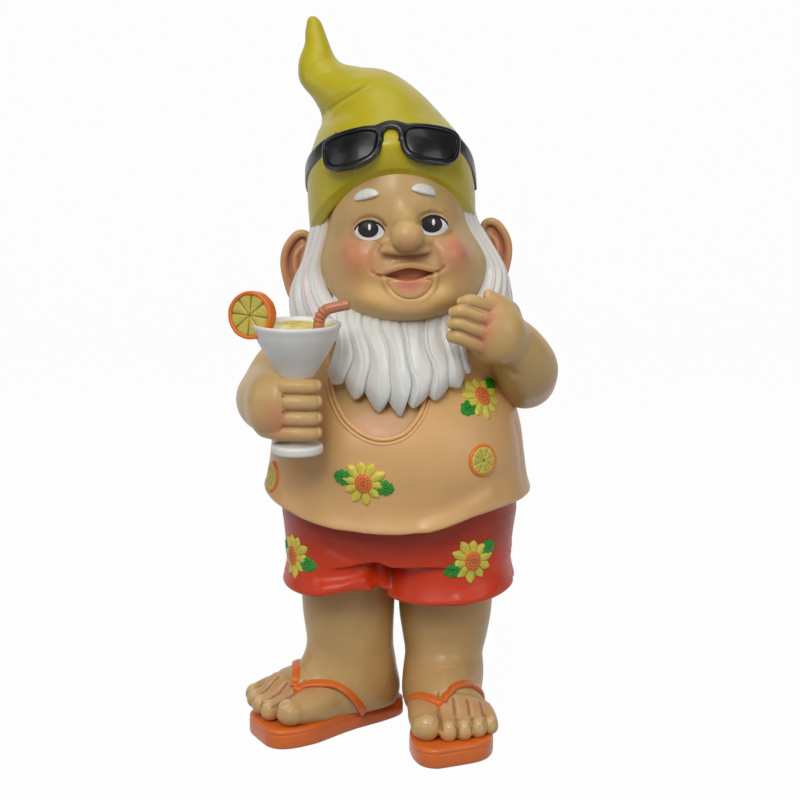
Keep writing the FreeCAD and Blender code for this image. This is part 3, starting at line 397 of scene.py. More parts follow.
    def skin(self):
        """One point in each grid cell that the skin passes through, at the mean of its crossings of
        the cell's edges and then slid along the slope to distance nought. A quad joins the four
        cells round each grid edge that the skin crosses."""
        field = self.field
        for axis in range(3):
            ends = np.moveaxis(field, axis, 0)
            ends[0] = np.maximum(ends[0], 0.3)
            ends[-1] = np.maximum(ends[-1], 0.3)
        inside = field < 0
        shape = np.array(field.shape) - 1
        parts = [inside[i:i + shape[0], j:j + shape[1], k:k + shape[2]] for i, j, k in CORNERS]
        active = ~(np.all(parts, axis=0) | ~np.any(parts, axis=0))
        number = np.full(active.shape, -1)
        number[active] = np.arange(active.sum())
        cells = np.argwhere(active)
        values = np.stack([field[tuple((cells + corner).T)] for corner in CORNERS], -1)
        total, crossings = np.zeros((len(cells), 3)), np.zeros((len(cells), 1))
        for a, b in EDGES:
            crosses = ((values[:, a] < 0) != (values[:, b] < 0))[:, None]
            t = (values[:, a] / np.where(crosses[:, 0], values[:, a] - values[:, b], 1))[:, None]
            total += crosses * (CORNERS[a] + t * (CORNERS[b] - CORNERS[a]))
            crossings += crosses
        points = self.low + (cells + total / crossings) * self.step
        for _ in range(2):
            slope = self.slope(points)
            shift = self.sample(points)[:, None] * slope / np.maximum((slope ** 2).sum(1, keepdims=True),
                    0.05)
            points -= np.clip(shift, -0.5 * self.step, 0.5 * self.step)
        quads = []
        for axis in range(3):
            one, two = (axis + 1) % 3, (axis + 2) % 3
            low, high = np.moveaxis(inside, axis, 0)[:-1], np.moveaxis(inside, axis, 0)[1:]
            places = np.argwhere(np.moveaxis(low != high, 0, axis))
            around = []
            for back_one, back_two in ((1, 1), (0, 1), (0, 0), (1, 0)):
                cell = places.copy()
                cell[:, one] -= back_one
                cell[:, two] -= back_two
                around.append(number[tuple(cell.T)])
            around = np.stack(around, -1)
            outward = inside[tuple(places.T)]
            quads.append(np.where(outward[:, None], around, around[:, ::-1]))
        return Skin(points, np.concatenate(quads))


# --- Paint ---

def linear(code):
    """An sRGB hex colour as linear red, green, blue and a full alpha."""
    parts = [int(code[at:at + 2], 16) / 255 for at in (0, 2, 4)]
    return tuple(part / 12.92 if part <= 0.04045 else ((part
            + 0.055) / 1.055) ** 2.4 for part in parts) + (1.0,)


def colour(name, code):
    """A colour that the user can change."""
    return FloatVectorProperty(name=name, description=f"{name} paint", subtype="COLOR", size=4,
                               min=0.0, max=1.0, default=linear(code))


class GNOME_paints(PropertyGroup):
    """The acrylic colours that the casting is painted with."""
    skin: colour("Skin", "CFAA6E")
    blush: colour("Blush", "D47560")
    lip: colour("Lips", "DB8468")
    mouth: colour("Mouth", "C47A54")
    hair: colour("Hair", "E6E7E2")
    hair_wash: colour("Hair wash", "E3A79B")
    hat: colour("Hat", "BEAE12")
    vest: colour("Vest", "E0B074")
    shorts: colour("Shorts", "D63A0E")
    sandal: colour("Sandals", "E67229")
    petal: colour("Petals", "D9CB4A")
    centre: colour("Flower centres", "E87C30")
    leaf: colour("Leaves", "148A1C")
    rind: colour("Rinds", "E27424")
    flesh: colour("Fruit flesh", "CDBB50")
    glass: colour("Glass", "E8E7E2")
    drink: colour("Drink", "E6D24A")
    straw: colour("Straw", "BC7650")
    black: colour("Black", "101012")
    nail: colour("Nails", "DAB282")


def put(tree, kind, sockets=None, **settings):
    """Adds a shader node, sets its properties, and gives its sockets values or links."""
    node = tree.nodes.new("ShaderNode" + kind)
    for name, value in settings.items():
        setattr(node, name, value)
    for key, value in (sockets or {}).items():
        if isinstance(value, bpy.types.NodeSocket):
            tree.links.new(value, node.inputs[key])
        else:
            node.inputs[key].default_value = value
    return node


def per(millimetres):
    """The noise scale, on coordinates in metres, whose features are this long."""
    return 1 / (millimetres * MM)


def tinted(base, factor):
    """A linear colour made darker or lighter."""
    return tuple(min(1.0, part * factor) for part in base[:3]) + (1.0,)


RESIN_IOR = 1.45
# how long the slow blotches of overlapping coats are, and the scuffs in a lacquer
BLOTCH_MM, SCUFF_MM = 26, 7


def new_paint(name):
    """A new material, and its node tree with nothing in it."""
    paint = bpy.data.materials.new(name)
    paint.use_nodes = True
    paint.node_tree.nodes.clear()
    return paint, paint.node_tree


def coated(tree, tone, coats):
    """Lays coats over a colour. A coat is a value, the two ends that it is spread between, how much
    of it covers at the upper end, its colour, and how it blends."""
    for value, low, high, cover, shade, blend in coats:
        share = put(tree, "MapRange", {0: value, 1: low, 2: high, 4: cover}).outputs[0]
        tone = put(tree, "Mix", {0: share, 6: tone, 7: shade}, data_type="RGBA", blend_type=blend).outputs[2]
    return tone


def varnished(tree, tone, marks, dulling, relief, coat, coat_roughness):
    """Puts a satin or gloss surface on a colour: marks stand up by the relief in millimetres, and
    the dulling is a value, the two ends that it is spread between, and the roughness at each."""
    dull = put(tree, "MapRange", dict(enumerate(dulling))).outputs[0]
    uneven = put(tree, "Bump", {"Strength": 1.0, "Distance": relief * MM, "Height": marks}).outputs[0]
    shader = put(tree, "BsdfPrincipled", {"Base Color": tone, "Roughness": dull, "Normal": uneven,
                                          "IOR": RESIN_IOR, "Coat Weight": coat,
                                          "Coat Roughness": coat_roughness})
    put(tree, "OutputMaterial", {"Surface": shader.outputs[0]})


def painted_resin(name, base, wash="7A4A24", wash_and_shade_depth=0.5, roughness=0.44, drag=(1.0, 1.0, 5.0),
                  drag_mm=1.1, mottle=0.10, relief=0.05, layers=(), coat=0.2):
    """Polyresin, cast from a mould, primed and brushed by hand with satin acrylic.

    To the eye: a broad soft gloss; faint drag lines of the brush, about a millimetre apart; the
    colour lighter on ridges, partly paint worn thin and partly a painted highlight; a brown wash in creases,
    partly real and partly painted shade; slow blotches where coats overlap."""
    paint, tree = new_paint(name)
    place = put(tree, "TexCoord").outputs["Object"]
    pulled = put(tree, "Mapping", {"Vector": place, "Scale": [1 / part for part in drag]}).outputs[0]
    strokes = put(tree, "TexNoise", {"Vector": pulled, "Scale": per(drag_mm), "Detail": 3.0,
                                     "Roughness": 0.6}).outputs["Fac"]
    blotches = put(tree, "TexNoise", {"Vector": place, "Scale": per(BLOTCH_MM), "Detail": 3.0,
                                      "Roughness": 0.55}).outputs["Fac"]
    coats = [(blotches, 0.3, 0.7, 1.0, tinted(base, 1 + mottle * 0.8), "MIX"),
             (strokes, 0.3, 0.75, 0.5, tinted(base, 1 - 1.1 * mottle), "MIX")]
    grip = put(tree, "MapRange", {0: strokes, 1: 0.1, 2: 0.6}).outputs[0]
    for key, shade, strength in layers:
        cover = put(tree, "Attribute", attribute_name=key).outputs["Fac"]
        broken = put(tree, "Math", {0: cover, 1: grip}, operation="MULTIPLY").outputs[0]
        even = put(tree, "Mix", {0: 0.35, 2: cover, 3: broken}).outputs[0]
        coats.append((even, 0.0, 1.0, strength, paint_colour(*shade), "MIX"))
    crease = put(tree, "Attribute", attribute_name="crease").outputs["Fac"]
    # ridges are painted lighter: partly paint worn thin, partly a painted highlight
    ridge_wear_and_highlight = put(tree, "Math", {0: crease, 1: -1.0}, operation="MULTIPLY").outputs[0]
    # creases darkened by the brown wash: partly a real wash of paint, partly painted shade in the creases
    coats.append((crease, 0.12, 0.8, wash_and_shade_depth, linear(wash), "MULTIPLY"))
    coats.append((ridge_wear_and_highlight, 0.25, 0.95, 0.35, tinted(base, 1.35), "MIX"))
    varnished(tree, coated(tree, tinted(base, 1 - mottle), coats), strokes,
              (strokes, 0.2, 0.8, roughness - 0.05, roughness + 0.08), relief, coat, 0.2)
    return paint


def gloss_lacquer(name, base, roughness=0.16, relief=0.04, mottle=0.25, grain_mm=1.6, coat=0.15):
    """The same casting under brushed black or clear gloss lacquer: sharp reflections that wobble
    with the brush marks, dust-fine scuffs that dull it in patches."""
    lacquer, tree = new_paint(name)
    place = put(tree, "TexCoord").outputs["Object"]
    scuffs = put(tree, "TexNoise", {"Vector": place, "Scale": per(SCUFF_MM), "Detail": 6.0}).outputs["Fac"]
    grain = put(tree, "TexNoise", {"Vector": place, "Scale": per(grain_mm), "Detail": 2.0}).outputs["Fac"]
    crease = put(tree, "Attribute", attribute_name="crease").outputs["Fac"]
    tone = coated(tree, tinted(base, 1 - mottle), [
        (scuffs, 0.35, 0.7, 1.0, tinted(base, 1 + mottle), "MIX"),
        # a darker copy of the lacquer in the creases: painted shade
        (crease, 0.15, 0.9, 0.5, tinted(base, 0.4), "MIX")])
    varnished(tree, tone, grain, (scuffs, 0.3, 0.75, roughness, roughness + 0.16), relief, coat, 0.08)
    return lacquer


def paint_colour(source, factor=1.0):
    """One of the figure's colours by its name, or a hex code, made lighter or darker."""
    paints = bpy.context.scene.gnome_paints
    return tinted(tuple(getattr(paints, source)) if hasattr(paints, source) else linear(source), factor)


# how far the brush drags the strokes out along X, Y and Z, where it dabs instead
EVEN = (1, 1, 1)
LACQUERS = ("drink", "black", "lens")
# each finish: the material's name, its colour, and its settings as a lacquer or as painted resin
FINISHES = {
    # the skin's layers: a lighter tint on the chin as a painted highlight, blush, lips, the mouth's colour,
    # and painted shade under the nose and in the lid creases
    "skin": ("skin_satin_acrylic", ("skin",), dict(layers=(
        ("pale", ("skin", 1.5), 0.8), ("blush", ("blush",), 0.75), ("lips", ("lip",), 0.75),
        ("mouth", ("mouth",), 1.0), ("shade", ("86482A",), 0.75)))),
    "lip": ("lip_satin_acrylic", ("skin", 1.08), dict(
        wash="7A3020", roughness=0.34, layers=(("rosy", ("lip",), 1.0),))),
    "hair": ("hair_white_acrylic", ("hair",), dict(
        wash="8A8078", wash_and_shade_depth=0.42, drag=(1, 1, 9), drag_mm=0.8, mottle=0.05, relief=0.08, roughness=0.36,
        layers=(("rosy", ("hair_wash",), 0.5),))),
    "hat": ("hat_olive_acrylic", ("hat",), dict(
        wash="5E5410", mottle=0.09, roughness=0.38, drag=(6, 6, 1), drag_mm=1.4)),
    "vest": ("vest_apricot_acrylic", ("vest",), dict(
        wash="8E5A2C", mottle=0.06, roughness=0.42, drag=(5, 5, 1), drag_mm=1.3)),
    # the shorts' shade layer is a painted shadow of the vest: a darker copy of the red
    "shorts": ("shorts_vermilion_acrylic", ("shorts",), dict(
        wash="6A1208", mottle=0.08, roughness=0.42, drag=(5, 5, 1), drag_mm=1.3, coat=0.08,
        layers=(("shade", ("shorts", 0.42), 0.72),))),
    "sandal": ("sandal_orange_acrylic", ("sandal",), dict(
        wash="6E2408", mottle=0.12, roughness=0.40, drag=(3, 3, 1))),
    "petal": ("petal_yellow_acrylic", ("petal",), dict(
        wash="A87A14", drag=EVEN, drag_mm=0.5, mottle=0.12, wash_and_shade_depth=0.7)),
    "centre": ("flower_centre_acrylic", ("centre",), dict(
        wash="7E2A0C", drag=EVEN, drag_mm=0.5, mottle=0.16, wash_and_shade_depth=0.8)),
    "leaf": ("leaf_green_acrylic", ("leaf",), dict(
        wash="06300E", drag=EVEN, drag_mm=0.5, mottle=0.2, wash_and_shade_depth=0.7)),
    "rind": ("rind_orange_acrylic", ("rind",), dict(
        wash="7A2C0C", mottle=0.12, drag=EVEN, drag_mm=0.7, relief=0.1, roughness=0.34)),
    "flesh": ("fruit_yellow_acrylic", ("flesh",), dict(
        wash="5E5A14", mottle=0.14, drag=EVEN, drag_mm=0.6, relief=0.1, wash_and_shade_depth=0.85)),
    "glass": ("glass_white_acrylic", ("glass",), dict(
        wash="8A867C", mottle=0.04, drag=(7, 7, 1), drag_mm=1.2, relief=0.07)),
    "drink": ("drink_yellow_gloss", ("drink",), dict(roughness=0.12, mottle=0.12)),
    "straw": ("straw_copper_acrylic", ("straw",), dict(
        wash="5E2C16", roughness=0.3, drag=(1, 1, 3), mottle=0.12)),
    "eye": ("eye_white_acrylic", ("EFEBE6",), dict(
        wash="B07A6A", roughness=0.25, mottle=0.02, relief=0.02, coat=0.5)),
    "pupil": ("pupil_black_acrylic", ("black", 0.6), dict(
        wash="000000", roughness=0.45, mottle=0.05, relief=0.01, coat=0.0)),
    "black": ("black_gloss_lacquer", ("black",), dict(roughness=0.2)),
    "lens": ("lens_black_gloss", ("black", 0.8), dict(roughness=0.24, grain_mm=3.0)),
    "nail": ("nail_satin_acrylic", ("nail",), dict(
        wash="8A5A34", roughness=0.26, mottle=0.04, relief=0.02, coat=0.4)),
}


@functools.cache
def paint_called(name):
    """One of the figure's finishes, made the first time that it is asked for."""
    title, shade, settings = FINISHES[name]
    return (gloss_lacquer if name in LACQUERS else painted_resin)(title, paint_colour(*shade), **settings)


# --- Pads: low forms laid on a surface ---

def laid_pad(clay, centre, out, up, outline, relief, rings=12, around=72, sunk=1.0):
    """A pad on the clay. A place in it is the centre plus a share, from 0 to 1, of the outline at an
    angle; it is dropped on to the clay against the pad's outward direction, and lifted there by the
    relief, a function of share and angle. A sunk ring and its middle close the pad below."""
    out = unit(np.array(out, float))
    right = unit(np.cross(np.array(up, float), out))
    up = np.cross(out, right)
    theta = angles(around)
    share = np.concatenate([[1.0, 1.0], np.linspace(1, 0.06, rings)])[:, None]
    across, rise = outline(theta)
    flat = (np.array(centre, float) + share[..., None] * (across[:, None] * right + rise[:, None] * up))
    start = (flat + 9 * out).reshape(-1, 3)
    ground = clay.land(start, -out).reshape(flat.shape)
    lift = relief(share, theta[None, :]) * np.ones(share.shape)
    lift[0], lift[1] = -sunk, -0.3 * sunk
    return grid_skin(ground + lift[..., None] * out)


def on_front(clay, spots):
    """The places (x, z) dropped on to the front of the clay."""
    spots = np.array(spots, float)
    ahead = clay.low[1] + 2
    return clay.land(np.stack([spots[:, 0], np.full(len(spots), ahead), spots[:, 1]], -1), (0, 1, 0))


# --- Head and face ---

EYES = ((-14.4, 289.6), (19.0, 291.9))
EYE_HALF_WIDTH, EYE_HALF_HEIGHT = 7.9, 5.2
# how strongly the upper lip is tinted
LIP_STRENGTH = 0.45
CHEEKS = ((-20.5, -52, 276.5), (31.8, -50, 278.5))
MOUTH_PATH = ((-7.0, 266.6), (0.0, 267.2), (6.4, 267.7), (12.8, 267.7), (19.2, 267.8))
UPPER_LIP = ((-12.4, 267.4), (-7.0, 269.0), (0.0, 271.9), (6.2, 273.0), (12.4, 272.4), (18.8, 270.4),
             (24.0, 270.0))


@functools.cache
def bare_head_clay():
    """Skull, cheeks and chin as blended balls, hollowed round the eyes, with the balls of the lids."""
    clay = Clay((-50, -80, 237), (58, 46, 336), 0.71)
    clay.ball((-0.5, -7, 297), (39.0, 49, 54))
    clay.ball((3.4, -14, 267.0), (45.5, 44.0, 28.0), 13)
    clay.ball((4.0, -30, 256.5), (36, 20, 18), 10)
    clay.ball((4.0, -37, 254.2), (29, 24, 12.5), 9)
    for centre in CHEEKS:
        clay.swell(centre, (12, 12, 10.5), 4.6)
    for x, z in EYES:
        clay.swell((x, -57, z + 1), (11, 8, 9), -2.4)
        y = on_front(clay, [(x, z)])[0, 1]
        clay.ball((x, y + 4.0, z + 0.4), (9.2, 6.2, 7.6), 2.2)
    return clay


def lid_fold(x, z):
    """The crease over an eye's lid."""
    return (x - 8.4, z + 2.8), (x - 5.2, z + 6.1), (x, z + 7.3), (x + 5.4, z + 6.0), (x + 8.2, z + 2.8)


@functools.cache
def head_clay():
    """The bare head with nose, muzzle and lips blended on, the mouth cut in, and the folds drawn
    along lines on the surface."""
    clay = copy.copy(bare_head_clay())
    clay.field = clay.field.copy()
    clay.ball((5.5, -49, 271.5), (19.5, 13.0, 11.5), 6)
    clay.tube([(4, -49, 301), (5, -54, 296), (6, -60, 291)], [4.5, 5.5, 6.5], 6)
    clay.ball((4.3, -57.5, 280.0), (13.4, 6.4, 4.2), 2.0)
    clay.ball((5.3, -65.0, 288.3), (8.7, 8.6, 8.6), 1.6)
    clay.swell((5.0, -62, 275.0), (11, 6, 2.6), -1.3)
    for fold in (((-9.6, 282.6), (-12.0, 277), (-13.2, 270.5)),
                 ((18.6, 283.2), (22.4, 278.8), (24.9, 271.8))):
        clay.line(on_front(clay, fold), 2.2, 1.3)
    lip = on_front(clay, UPPER_LIP)
    clay.tube(lip + (0, 0.5, 0), [0.3, 0.8, 1.1, 1.2, 1.1, 0.9, 0.3], 1.6)
    opening = on_front(clay, MOUTH_PATH)
    for back in (0.0, 2.2, 4.4):
        clay.tube(opening + (0, back, 0), [0.3, 2.2, 3.3, 2.2, 0.3], 0.5, carve=True)
    for corner in (((-6.0, 266.4), (-9.4, 266.6), (-13.0, 268.2)),
                   ((18.2, 267.6), (21.4, 268.4), (24.6, 270.8))):
        clay.line(on_front(clay, corner), 0.9, 1.3)
    rim = ((-7.0, 266.0), (-4.6, 260.0), (0.2, 255.4), (7.6, 253.6), (14.4, 255.2), (19.2, 260.4),
           (20.6, 267.2))
    clay.line(on_front(clay, rim), 1.1, -1.2, 40)
    clay.swell((8, -54, 248.5), (13, 9, 6), 2.2)
    for x, z in EYES:
        clay.line(on_front(clay, lid_fold(x, z)), 1.0, 0.9)
    return clay


def eye_outline(theta):
    """A lens shape: half as wide again as high, its upper edge a little fuller than its lower."""
    lift = np.sin(theta) * np.abs(np.sin(theta)) ** 0.12
    return EYE_HALF_WIDTH * np.cos(theta), EYE_HALF_HEIGHT * lift - 0.6 * np.cos(theta) ** 2


def oval(width, height):
    """An outline: an ellipse of these half sizes."""
    return lambda theta: (width * np.cos(theta), height * np.sin(theta))


def dome(height, edge=0.0):
    """A relief: an elliptic dome, on an upright edge."""
    return lambda share, theta: edge + height * np.sqrt(np.maximum(1 - share ** 2, 0)) + 0 * theta


def lash_skin(clay, x, z):
    """The painted lash line: a thin band along the upper edge of the eye, thickest over the pupil."""
    theta = np.linspace(math.radians(172), math.radians(8), 40)
    across, rise = eye_outline(theta)
    path = on_front(clay, np.stack([x + across, z + rise + 0.1], -1)) - (0, 0.75, 0)
    width = 0.22 + 0.42 * np.sin(np.linspace(0, math.pi, 40)) ** 0.7
    return grid_skin(carried(path, (0, -1, 0), round_profile(12) * width[:, None, None])[:, ::-1])


class GNOME_OT_head(Operator):
    """Head with its nose, lips and lids in one skin, rosy at the cheeks"""
    bl_idname = "gnome.head"
    bl_label = "Head"

    def execute(self, context):
        clay = head_clay()
        skin = clay.skin()
        x, y, z = skin.points.T
        chin = [(-14, -56, 256), (-5, -60, 252), (5, -61, 251), (15, -60, 253), (24, -56, 258)]
        lip = smooth_path(on_front(clay, UPPER_LIP), 16)
        folds = np.concatenate([smooth_path(on_front(clay, lid_fold(*eye)), 14) for eye in EYES])
        under_nose = [(across, -60.0, 277.4) for across in (-6, -1.5, 2.5, 6.5, 10.5, 15)]
        washed(skin, "blush", (1.0, CHEEKS, 11.5), (0.5, [(6, -72, 284)], 6), (0.25, [(8, -60, 250)], 9))
        # painted highlight: the chin is painted lighter, where light would fall on it
        washed(skin, "pale", (1.0, chin, 6.5))
        washed(skin, "lips", (LIP_STRENGTH, lip, 2.3), most=LIP_STRENGTH)
        # painted shade: a shadow under the nose, and darker creases over the lids
        washed(skin, "shade", (0.75, under_nose, 3.6), (0.45, folds, 1.3))
        middle = on_front(clay, MOUTH_PATH)[2, 0] - 0.2
        inside = np.exp(-((x - middle) / 12.6) ** 8 - ((z - 266.4 + 0.010 * (x - 6) ** 2) / 4.6) ** 8)
        skin.paint["mouth"] = inside * (y > -63) * (y < -40)
        make("head_skin", skin, "skin", "skin", "head", "nose", "upper_lip")
        return {"FINISHED"}


class GNOME_OT_eyes(Operator):
    """Eye whites, black pupils with their painted glints, and lash lines"""
    bl_idname = "gnome.eyes"
    bl_label = "Eyes"

    def execute(self, context):
        clay = bare_head_clay()
        ahead, up = (0, -1, 0), (0, 0, 1)
        whites, blacks, glints = [], [], []
        for x, z in EYES:
            y = on_front(clay, [(x, z)])[0, 1]
            whites.append(laid_pad(clay, (x, y, z), ahead, up, eye_outline, dome(0.35, 0.25), 14, 96))
            pupil = (x - 0.6, y, z + 0.9)
            blacks.append(laid_pad(clay, pupil, ahead, up, oval(5.4, 4.35), dome(0.35, 0.62), 8, 64))
            blacks.append(lash_skin(clay, x, z))
            glints.append(laid_pad(clay, (pupil[0] + 0.7, y, z + 2.0), ahead, up, oval(0.8, 1.7),
                                   dome(0.18, 1.0), 5, 24))
        make("eye_whites_painted", merged(whites + glints), "eye", "hair_white", "eye_whites")
        make("pupils_and_lashes", merged(blacks), "pupil", "gloss_black", "eye_pupils")
        return {"FINISHED"}


def brow_outline(side):
    """A half moon, flat below, leaning down to the outer end."""
    def outline(theta):
        across = 7.0 * np.cos(theta)
        rise = np.where(np.sin(theta) > 0, 4.4, 1.3) * np.sin(theta)
        lean = math.radians(13)
        return (across * math.cos(lean) + side * rise * math.sin(lean),
                rise * math.cos(lean) - side * across * math.sin(lean) - 0.5)
    return outline


class GNOME_OT_eyebrows(Operator):
    """Two white half-moon brows"""
    bl_idname = "gnome.eyebrows"
    bl_label = "Eyebrows"

    def execute(self, context):
        clay = head_clay()
        pads = []
        for x, z, side in ((-16.4, 307.8, -1), (14.5, 310.4, 1)):
            pads.append(laid_pad(clay, (x, -55, z), (0.12 * side, -1, 0.1), (0, 0, 1), brow_outline(side),
                                 dome(2.0, 0.5), 12, 80))
        make("eyebrow_pads", merged(pads), "hair", "hair_white", "eyebrows")
        return {"FINISHED"}


def lip_outline(theta):
    """A U: nearly straight across the top, deep and round below."""
    across = 11.4 * np.cos(theta)
    rise = np.where(np.sin(theta) > 0, 1.9 * np.abs(np.sin(theta)) ** 0.7, 8.6 * np.sin(theta))
    return across * (1 - 0.10 * np.clip(-np.sin(theta), 0, 1)), rise


class GNOME_OT_lower_lip(Operator):
    """The rosy lower lip that fills the open smile"""
    bl_idname = "gnome.lower_lip"
    bl_label = "Lower lip"

    def execute(self, context):
        clay = head_clay()

        def relief(share, theta):
            swollen = 0.3 + 1.5 * np.sqrt(np.maximum(1 - share ** 3, 0))
            return swollen - np.sin(theta) * share * (1 - share ** 5) * 1.3

        pad = laid_pad(clay, (7.0, -58, 263.1), (0.03, -1, 0.12), (0, 0, 1), lip_outline, relief, 14, 88)
        gap = (pad.points - (7.0, 0, 262.6)) * (1, 0, 1.4)
        pad.paint["rosy"] = np.exp(-((gap ** 2).sum(1) / 8.5 ** 2) ** 1.5)
        make("lower_lip", pad, "lip", "lip_pink", "tongue")
        return {"FINISHED"}


# --- Ears ---

def ear_skin(side, shift):
    """A leaf-shaped plate with a rolled rim, a hollow in it and the inner fold, sculpted as the
    right ear and mirrored for the left."""
    clay = Clay((-71, -4, 238), (-40, 24, 290), 0.5)
    clay.ball((-53.8, 12.0, 263), (9.6, 4.2, 19.5), turn=(0, 8, 0))
    rim = ((-47, 10, 276), (-50.5, 8, 281.4), (-56, 7.4, 280.8), (-61.6, 8, 273), (-63.0, 8.6, 264),
           (-61.0, 9, 254), (-57.4, 9.4, 246.4), (-52, 10.5, 245))
    clay.tube(rim, [1.6, 2.0, 2.2, 2.1, 2.0, 2.1, 2.8, 2.4], 2.0, steps=40)
    clay.ball((-54.6, 2.6, 265), (7.0, 5.8, 14.5), 2.2, turn=(0, 8, 0), carve=True)
    clay.tube(((-52.5, 8.8, 275), (-56.2, 8.2, 270), (-56.4, 8.2, 262), (-53.0, 9.0, 255)),
              [0.8, 1.2, 1.2, 0.8], 2.0)
    clay.ball((-47.5, 12, 262), (8, 6, 14), 3)
    hollow = [(-56, 6, 274), (-57, 6, 263), (-55, 6, 252)]
    skin = washed(clay.skin(), "blush", (0.8, hollow, 10), most=0.8)
    if side > 0:
        skin.points = skin.points * (-1, 1, 1)
        skin.quads = skin.quads[:, ::-1]
    skin.points = skin.points + shift
    return skin


class GNOME_OT_ears(Operator):
    """Two large ears, rosy in the hollow"""
    bl_idname = "gnome.ears"
    bl_label = "Ears"

    def execute(self, context):
        make("right_ear_skin", ear_skin(-1, (0, 0, 0)), "skin", "skin", "right_ear")
        make("left_ear_skin", ear_skin(1, (-1.0, 0, 6.6)), "skin", "skin", "left_ear")
        return {"FINISHED"}


# --- Hair and beard: carved locks over a core ---

def lock_skin(route, width, depth, facing, wave, phase, rosy, strands=3, rows=30, around=28, tip=0.10):
    """A carved lock: a flattened teardrop carried along a wavy path. Its half width grows from the
    root, holds, and closes to a point over the last part; its outer side is cut into strands by
    a rounded comb of grooves, each strand a little higher than the last."""
    t = np.linspace(0, 1, rows)
    path = smooth_path(route, rows)
    facing = unit(np.array(facing, float))
    along = unit(np.gradient(path, axis=0))
    across = unit(np.cross(along, facing))
    path = path + across * (wave * np.sin(2 * math.pi * (1.15 * t + phase)) * t)[:, None]
    taper = np.clip((1 - t) / 0.34, 0, 1)
    half = width * (0.72 + 0.28 * np.sin(math.pi * np.clip(t * 1.25, 0, 1))) * taper ** 0.62 + tip
    thick = depth * (0.75 + 0.25 * np.sin(math.pi * t)) * taper ** 0.5 + tip
    turn = angles(around)
    u, v = np.cos(turn), np.sin(turn)
    comb = np.abs(np.sin(math.pi * strands * 0.5 * (u[None, :] * 0.94 + 1) + 0.5
                         * np.sin(3 * t + phase)[:, None]))
    groove = (0.30 * comb ** 0.55 - 0.16) * np.clip(v, 0, 1) ** 0.7
    profile = np.stack([u * half[:, None], v * thick[:, None] + groove * depth * taper[:, None] ** 0.5], -1)
    rings = carried(path, facing, profile)
    skin = grid_skin(rings[:, ::-1])
    skin.paint["rosy"] = rosy * np.concatenate([
        np.repeat(np.clip(0.2 + 0.8 * np.sin(9 * t + 5 * phase) * (1 - t), 0, 1), around), [0, 0]])
    return skin


def saw(s, knots):
    """How far a sheet of hair reaches at s, and where s lies between the notches. The knots are
    notches and tips by turns, each with its reach; from a tip the edge falls away slowly first and
    then faster, to a sharp notch. The second value runs from -1 at a notch over 0 to 1 at the next."""
    places, reach = np.array(knots, float).T
    notches, tips = places[::2], places[1::2]
    low = np.interp(s, notches, reach[::2])
    high = np.interp(s, tips, reach[1::2])
    fall = np.interp(s, places, np.arange(len(places)) % 2 == 0)
    share = np.interp(s, places, np.arange(len(places)))
    return high - (high - low) * fall ** 1.35, share % 2 - 1


def tress_skin(near, far, facing, bulge, sag, knots, depth, sunk=8.0, power=0.5, wave=1.2, phase=0.0,
               rows=64, columns=120, rosy=0.0):
    """A carved sheet of hair between two edge paths. s runs from -1 at the near edge to 1 at the far
    one and v down the fall. A point is the mix of the edges, pushed out by bulge (1 - s^2)^power
    and down by sag (1 - s^2). Locks part at the notches: each is a round ridge, cut into finer strands
    that climb slowly to a crisp ridge and drop, and fade towards the tip, and all of them sway
    together in a slow wave."""
    v = np.linspace(0, 1, rows)[:, None]
    s = np.linspace(-1, 1, columns)[None, :]
    facing = unit(np.array(facing, float))
    swayed = s + (0.050 * np.sin(6.0 * v + phase) + 0.026 * np.sin(11 * v + 4 * s + 2 * phase)) * wave * (1
            - s ** 2)
    reach, lock = saw(swayed + 0 * v, knots)
    down = v * reach
    at = np.linspace(0, 1, 40)
    paths = [smooth_path(path, 40) for path in (near, far)]
    edges = [np.stack([np.interp(down, at, path[:, axis]) for axis in range(3)], -1) for path in paths]
    across = unit(edges[1] - edges[0])
    out = unit(facing - across * (across @ facing)[..., None])
    body = np.clip(1 - s ** 2, 0, 1)
    push = np.interp(down, np.linspace(0, 1, len(bulge)), bulge) * body ** power
    drop = np.interp(down, np.linspace(0, 1, len(sag)), sag) * body
    ridge = np.clip(1 - np.abs(lock) ** 2.2, 0, 1) ** 0.62 - 1
    place = (lock + 1 + 0.16 * np.sin(5 * v + phase)) % 1
    fine = np.where(place < 0.68, place / 0.68, (1 - place) / 0.32)
    cut = (depth[0] + (depth[1] - depth[0]) * v) * ridge - 1.1 * (1 - fine) * (1 - 0.55 * v)
    taper = np.clip(1 - v ** 7, 0, 1) ** 0.5
    middle = (edges[0] * (1 - s[..., None]) + edges[1] * (1 + s[..., None])) / 2
    middle = middle - drop[..., None] * (0, 0, 1)
    front = middle + out * (push + cut * (0.3 + 0.7 * body ** 0.25))[..., None] - out * (3.0 * v ** 9)[...,
            None]
    thick = sunk * (0.12 + 0.88 * body ** 0.5) * taper + 0.3
    back = front - out * thick[..., None]
    # the rosy wash is strongest in the partings between the locks: partly pink paint, partly painted shade in
    # the partings
    wash = rosy * np.clip(0.15 - 0.75 * ridge * fine + 0.35 * np.sin(7 * s + 5 * v + phase), 0, 1)
    return sewn_skin(front, back, rosy=wash + 0 * front[..., 0])


BEARD_KNOTS = ((-1.0, 0.90), (-0.896, 0.985), (-0.765, 0.85), (-0.61, 0.955), (-0.50, 0.81), (-0.30, 0.97),
               (-0.17, 0.82), (0.018, 0.99), (0.116, 0.81), (0.215, 0.905), (0.438, 0.82), (0.52, 0.915),
               (0.70, 0.86), (0.82, 0.965), (0.91, 0.88), (0.97, 0.92), (1.0, 0.86))


